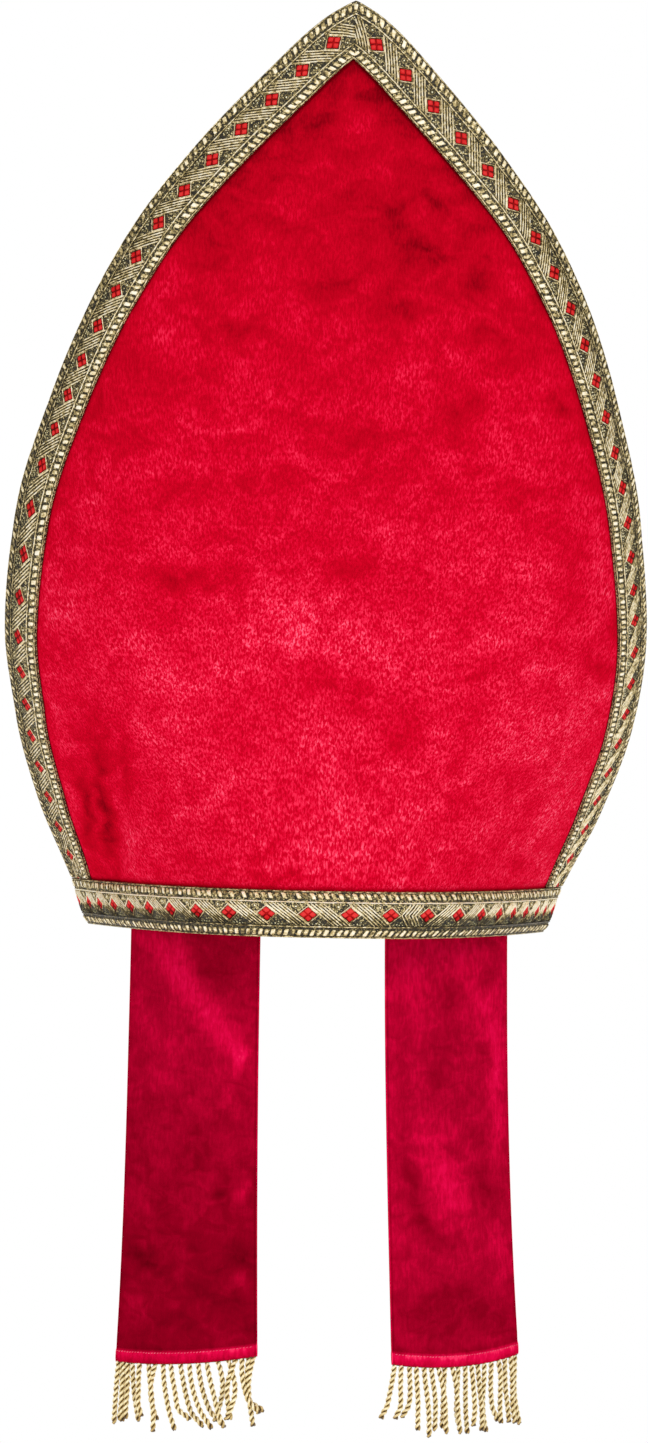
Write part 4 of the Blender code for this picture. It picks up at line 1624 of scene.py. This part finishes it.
@dataclass(kw_only=True)
class Lappet(Assembly):
    """A velvet lappet with its turned hem, and the fringe below it."""

    name: str
    side: int  # -1 where X is below 0
    middle: float  # place across, in millimetres as the next four
    swing: float
    hem: float
    slant: float
    sag: float
    turn: float  # to the side, in degrees, at the hem
    # The tones fall towards the hem, as painted shade
    tones: Table  # share of the length and tone
    marks: Sequence[Brush]
    cords: Sequence[Cord]
    width: float = 62.0 * MM
    top: float = 14.0 * MM
    turn_top: float = 36.0
    bend: float = 30.0
    wall: float = 2.0 * MM
    hem_height: float = 4.6 * MM
    hem_wall: float = 3.2 * MM
    stitch_pitch: float = 1.35 * MM
    stitch_row: float = 1.4 * MM
    ply: float = 0.6 * MM
    twist: float = 0.52 * MM
    twist_pitch: float = 4.9 * MM
    stations: int = 19  # along a cord's middle line
    rows: int = 60
    hem_rows: int = 12
    columns: int = 33

    def __post_init__(self) -> None:
        """Work out the length, and the depth at which the top just clears the horn's inner face."""
        self.length = self.top - self.hem * MM
        out, ahead, _ = self.plan(np.linspace(-0.5, 0.5, 13) * self.width, np.zeros(13))
        form, x = self.form, self.middle * MM + out
        gone = form.wall + form.soft_gap + self.wall / 2
        inner = form.depth(x, 0 * x) - gone / np.abs(form.normal(x, 0 * x)[..., 1])
        self.depth = float((inner - ahead).min())

    def plan(self, across: Array, share: Array) -> tuple[Array, Array, Array]:
        """Lay the curved section out flat on its level.

        Args:
            across: places across the lappet.
            share: shares of its length.

        Returns:
            How far each place lies out from the middle and ahead of it, and the angle there.
        """
        turn = math.radians(self.turn_top) + math.radians(self.turn - self.turn_top) * share**3
        bend = math.radians(self.bend)
        end = turn + bend * across / self.width
        radius = self.width / bend
        return radius * (np.sin(end) - np.sin(turn)), radius * (np.cos(end) - np.cos(turn)), end

    def point(self, across: Array, share: Array, drop: Array | float = 0.0) -> Array:
        """Find points of the lappet's middle surface, or below its hem where share is 1.

        Args:
            across: places across the lappet.
            share: shares of its length.
            drop: how far below they lie.

        Returns:
            The points.
        """
        across, share, drop = np.broadcast_arrays(across, share, drop)
        out, ahead, _ = self.plan(across, share)
        side = 2 * across / self.width
        hem = (self.hem - self.slant * side / 2 + self.sag * side * side) * MM
        x = self.side * (self.middle * MM + self.swing * MM * share**1.5 + out)
        z = self.top + (hem - self.top) * share - drop
        wave = 0.7 * MM * np.sin(across / self.width * 5.0 + share * 3.1 + self.side)
        wave = wave * smooth_step(share * 3) * share
        points = np.stack([x, -(self.depth + ahead), z], axis=-1)
        return points + self.normal(across, share) * wave[..., None]

    def normal(self, across: Array, share: Array) -> Array:
        """The outward, level normal."""
        _, _, angle = self.plan(*np.broadcast_arrays(across, share))
        return np.stack([self.side * np.sin(angle), -np.cos(angle), 0 * angle], axis=-1)

    def velvet(self) -> Thing:
        """Make the cloth, slightly puffed, with its rolled hem.

        Returns:
            The cloth.
        """
        start = 1 - self.hem_height / self.length
        shares = np.concatenate([np.linspace(0, start - 0.006, self.rows),
                                 np.linspace(start - 0.002, 1.0, self.hem_rows)])
        edge = bunched(self.columns)
        a, s = np.meshgrid(edge * self.width / 2, shares)
        points, normals = self.point(a, s), self.normal(a, s)
        in_hem, down = smooth_step((s - start + 0.006) / 0.008), (s - start) / (1 - start)
        rolled = np.sqrt(np.clip(1 - np.clip(down, 0, 1) ** 4, 0.05, 1))
        round_side = np.sqrt(np.clip(1 - np.abs(edge) ** 14, 0.12, 1))
        seam = 1 - 0.4 * np.exp(-((s - start + 0.004) / 0.003) ** 2)
        half = (self.wall + (self.hem_wall - self.wall) * in_hem) * rolled / 2 * round_side * seam
        # Marks are placed to the right as seen
        shade = looked_up(self.tones, s) + brushed(self.marks, a * self.side, points[..., 2]) * (1 - in_hem)
        # The rolled hem is lighter, with painted light along its top and painted shade towards its lower edge
        shade = shade + in_hem * (0.58 - 0.4 * down)
        # Painted shade where the sides turn away, and a painted highlight where their outermost pile catches
        # the light
        shade = shade - 0.2 * smooth_step((np.abs(edge) - 0.96) / 0.02)
        shade = shade + 0.5 * smooth_step((np.abs(edge) - 0.985) / 0.012)
        # Painted shade in the dip above the hem's seam
        shade = shade - 0.06 * np.exp(-((s - start + 0.004) / 0.004) ** 2)
        cloth = Cloth()
        cloth.add(points - normals * half[..., None], normals, 2 * half, shade)
        made = cloth.closed(f"{self.name}_lappet_velvet", 0.0)
        outwards(made, 60)
        self.dress(made, ["lappet"], "velvet", f"{self.name}_lappet")
        return made

    def stitches(self) -> Thing:
        """Sew a row of small stitches along the top of the hem.

        Returns:
            The stitches.
        """
        across = np.linspace(-0.485, 0.485, 41) * self.width * self.side
        row = 1 - (self.hem_height - 0.2 * MM) / self.length
        rows = row + np.linspace(0.5, -0.5, 3) * self.stitch_row / self.length
        a, s = np.meshgrid(across, rows, indexing="ij")
        normals = self.normal(a, s)
        points = self.point(a, s) + normals * self.hem_wall * 0.46
        run = summed(strides(points[:, 1]))
        relief = Relief()
        relief.thread([(0.2, 0.55), (0.6, 0.66), (1.05, 0.84)], 0.42, 0.34, -0.05, 0.6)
        made = Strip(points, normals, run, self.stitch_row).lay(f"{self.name}_hem_stitches", relief, {
            "Count": int(run[-1] / self.stitch_pitch), "Pitch": self.stitch_pitch, "First": 0.0,
            "Unevenness": 0.5 * MM, "Finish": self.looks["stitch"],
        })
        outwards(made, 60)
        self.dress(made, ["stitch"], "velvet", f"{self.name}_lappet")
        return made

    def lines(self) -> bpy.types.Curve:
        """Lay the cords' middle lines, from behind the hem to their hooked ends.

        Returns:
            The lines.
        """
        stray = random.Random(31 + self.side)
        curve = bpy.data.curves.new(f"{self.name}_fringe_lines", "CURVE")
        curve.dimensions = "3D"
        for cord in self.cords:
            root = np.array([cord.root * MM * self.side]), np.ones(1)
            start, out = self.point(*root)[0], self.normal(*root)[0]
            level = np.array((-out[1], out[0], 0.0))
            depth = stray.uniform(-0.7, 0.9) * MM
            wave, turn = stray.uniform(0.2, 0.6) * MM, stray.uniform(0, 6.3)
            spline = curve.splines.new("POLY")
            spline.points.add(self.stations - 1)
            for dot, t in zip(spline.points, np.linspace(0, 1, self.stations)):
                aside = (cord.drift * t**1.25 + cord.hook * smooth_step((t - 0.72) / 0.28)
                         + cord.bow * math.sin(math.pi * t)) * MM + wave * t * math.sin(5.5 * t + turn)
                lift = abs(cord.hook) * 0.42 * MM * smooth_step((t - 0.78) / 0.22)
                down = -0.9 * MM + (cord.length + 0.9) * MM * t - lift
                bend = (depth * min(1.0, 4 * t) * (1 + t) - 0.6 * MM
                        + 0.6 * MM * (math.sin(4 * t + turn) - math.sin(turn)))
                dot.co = (*(start + out * bend + level * aside - np.array((0, 0, down))), 1.0)
        return curve

    def fringe(self) -> Thing:
        """Make the header and the twisted cords sewn to it.

        Returns:
            The fringe.
        """
        cords = grown(f"{self.name}_fringe_cords", self.lines(), cord_tree(), {
            "Ply Radius": self.ply, "Twist Radius": self.twist, "Twist Pitch": self.twist_pitch,
            "Spacing": 0.34 * MM, "Sides": 7, "Finish": self.looks["cord"],
        })
        outwards(cords, 80)
        a, drop = np.meshgrid(np.linspace(-0.49, 0.49, 65) * self.width, np.linspace(-1.6, 0.1, 4) * MM)
        ones, cloth = np.ones_like(a), Cloth()
        normals = self.normal(a, ones)
        knots = 0.25 * MM * np.sin(a / MM * 2.6)
        cloth.add(self.point(a, ones, drop) - normals * 0.6 * MM, normals, 1.0 * MM + knots)
        made = joined(f"{self.name}_fringe_cord", [cords, cloth.closed("header", 0.0)])
        self.dress(made, ["cord"], "fringe", f"{self.name}_fringe")
        return made

    def build(self) -> None:
        """Make the cloth, its stitches and its fringe."""
        velvet, stitches, fringe = self.velvet(), self.stitches(), self.fringe()


# ---------------- stage


@dataclass
class Studio:
    """Camera, floor and soft lights."""

    distance: float = 2.155
    height: float = 0.0823
    yaw: float = 2.0
    roll: float = 1.13
    focal_px: float = 5400.0
    frame_px: float = 1443.0
    aside_px: float = 4.0
    sensor_mm: float = 36.0
    floor_z: float = -0.36
    floor_radius: float = 1.05
    floor_corners: int = 96
    surround: float = 0.56

    def camera(self) -> None:
        """Place the camera at the photograph's angle."""
        data = bpy.data.cameras.new("camera")
        data.sensor_width = self.sensor_mm
        data.lens = self.focal_px / self.frame_px * self.sensor_mm
        data.shift_x = self.aside_px / self.frame_px
        data.clip_start, data.clip_end = 0.05, 30.0
        yaw, roll = math.radians(self.yaw), math.radians(self.roll)
        ahead = Vector((math.sin(yaw), math.cos(yaw), 0.0))
        right, up = Vector((math.cos(yaw), -math.sin(yaw), 0.0)), Vector((0, 0, 1))
        x = right * math.cos(roll) + up * math.sin(roll)
        y = up * math.cos(roll) - right * math.sin(roll)
        turned = Matrix((x, y, -ahead)).transposed().to_4x4()
        turned.translation = -ahead * self.distance + up * self.height
        made = placed("camera", data)
        made.matrix_world = turned
        bpy.context.scene.camera = made

    def light(self, name: str, place: Sequence[float], aim: Sequence[float], size: float, watts: float) -> None:
        """Hang a square soft light.

        Args:
            name: the light's name.
            place: where it hangs.
            aim: what it points at.
            size: its side.
            watts: its power.
        """
        data = bpy.data.lights.new(name, "AREA")
        data.shape, data.size, data.energy = "SQUARE", size, watts
        made = placed(name, data)
        made.location, made.rotation_mode = place, "QUATERNION"
        made.rotation_quaternion = (Vector(aim) - Vector(place)).to_track_quat("-Z", "Y")

    def build(self) -> None:
        """Set the camera, the floor, the white surround and the lights."""
        self.camera()
        mesh = bpy.data.meshes.new("floor")
        turns = np.linspace(0, 2 * math.pi, self.floor_corners, endpoint=False)
        ring = [(self.floor_radius * math.cos(a), self.floor_radius * math.sin(a), self.floor_z) for a in turns]
        mesh.from_pydata(ring, [], [range(self.floor_corners)])
        paper = Paper("white_paper_floor", ((0, "#F6F6F6"), (1, "#F2F2F2")), self.floor_radius)
        mesh.materials.append(paper.material())
        placed("floor", mesh)
        world = bpy.data.worlds.new("white_surround")
        world.use_nodes = True
        # The surround is seen as white, and lights the cloth a little less than that
        seen = add_node(world.node_tree, "LightPath", out="Is Camera Ray")
        power = add_node(world.node_tree, "MapRange", {"Value": seen, "To Min": self.surround, "To Max": 1})
        feed(world.node_tree.nodes["Background"], {"Color": linear("#FFFFFF"), "Strength": power})
        bpy.context.scene.world = world
        self.light("key", (1.1, -2.2, 1.5), (0, 0, 0.12), 1.0, 26.0)
        self.light("fill", (-1.7, -1.8, 0.5), (0, 0, 0.1), 1.4, 10.0)
        self.light("back", (-0.9, 2.2, 1.7), (0, 0, 0.12), 1.4, 26.0)
        bpy.context.scene.view_settings.view_transform = "Standard"


def main() -> None:
    """Build every sub-assembly in order."""
    logging.basicConfig(level=logging.INFO, format="%(message)s")
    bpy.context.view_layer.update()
    form, repeat = HornForm(), BraidRepeat()
    looks = {kind: finish.material() for kind, finish in FINISHES.items()}
    Studio().build()
    for side, mirrored in (("back", False), ("front", True)):
        Horn(form, looks, side=side, mirrored=mirrored).build()
        EdgeBraid(form, looks, repeat=repeat, side=side, mirrored=mirrored).build()
    RimBand(form, looks, repeat=repeat).build()
    Gusset(form, looks).build()
    Lappet(form, looks, name="left", side=-1,
           middle=51.0, swing=0.0, hem=-168.4, slant=6.0, sag=1.4, turn=26.0,
           tones=((0, 0.43), (0.3, 0.44), (0.55, 0.39), (0.8, 0.26), (1, 0.27)),
           marks=LEFT_MARKS, cords=LEFT_CORDS).build()
    Lappet(form, looks, name="right", side=1,
           middle=51.5, swing=6.5, hem=-168.0, slant=-1.0, sag=2.5, turn=33.0,
           tones=((0, 0.56), (0.5, 0.53), (0.8, 0.48), (1, 0.38)),
           marks=RIGHT_MARKS, cords=RIGHT_CORDS).build()
    bpy.context.view_layer.update()


if __name__ == "__main__":
    main()
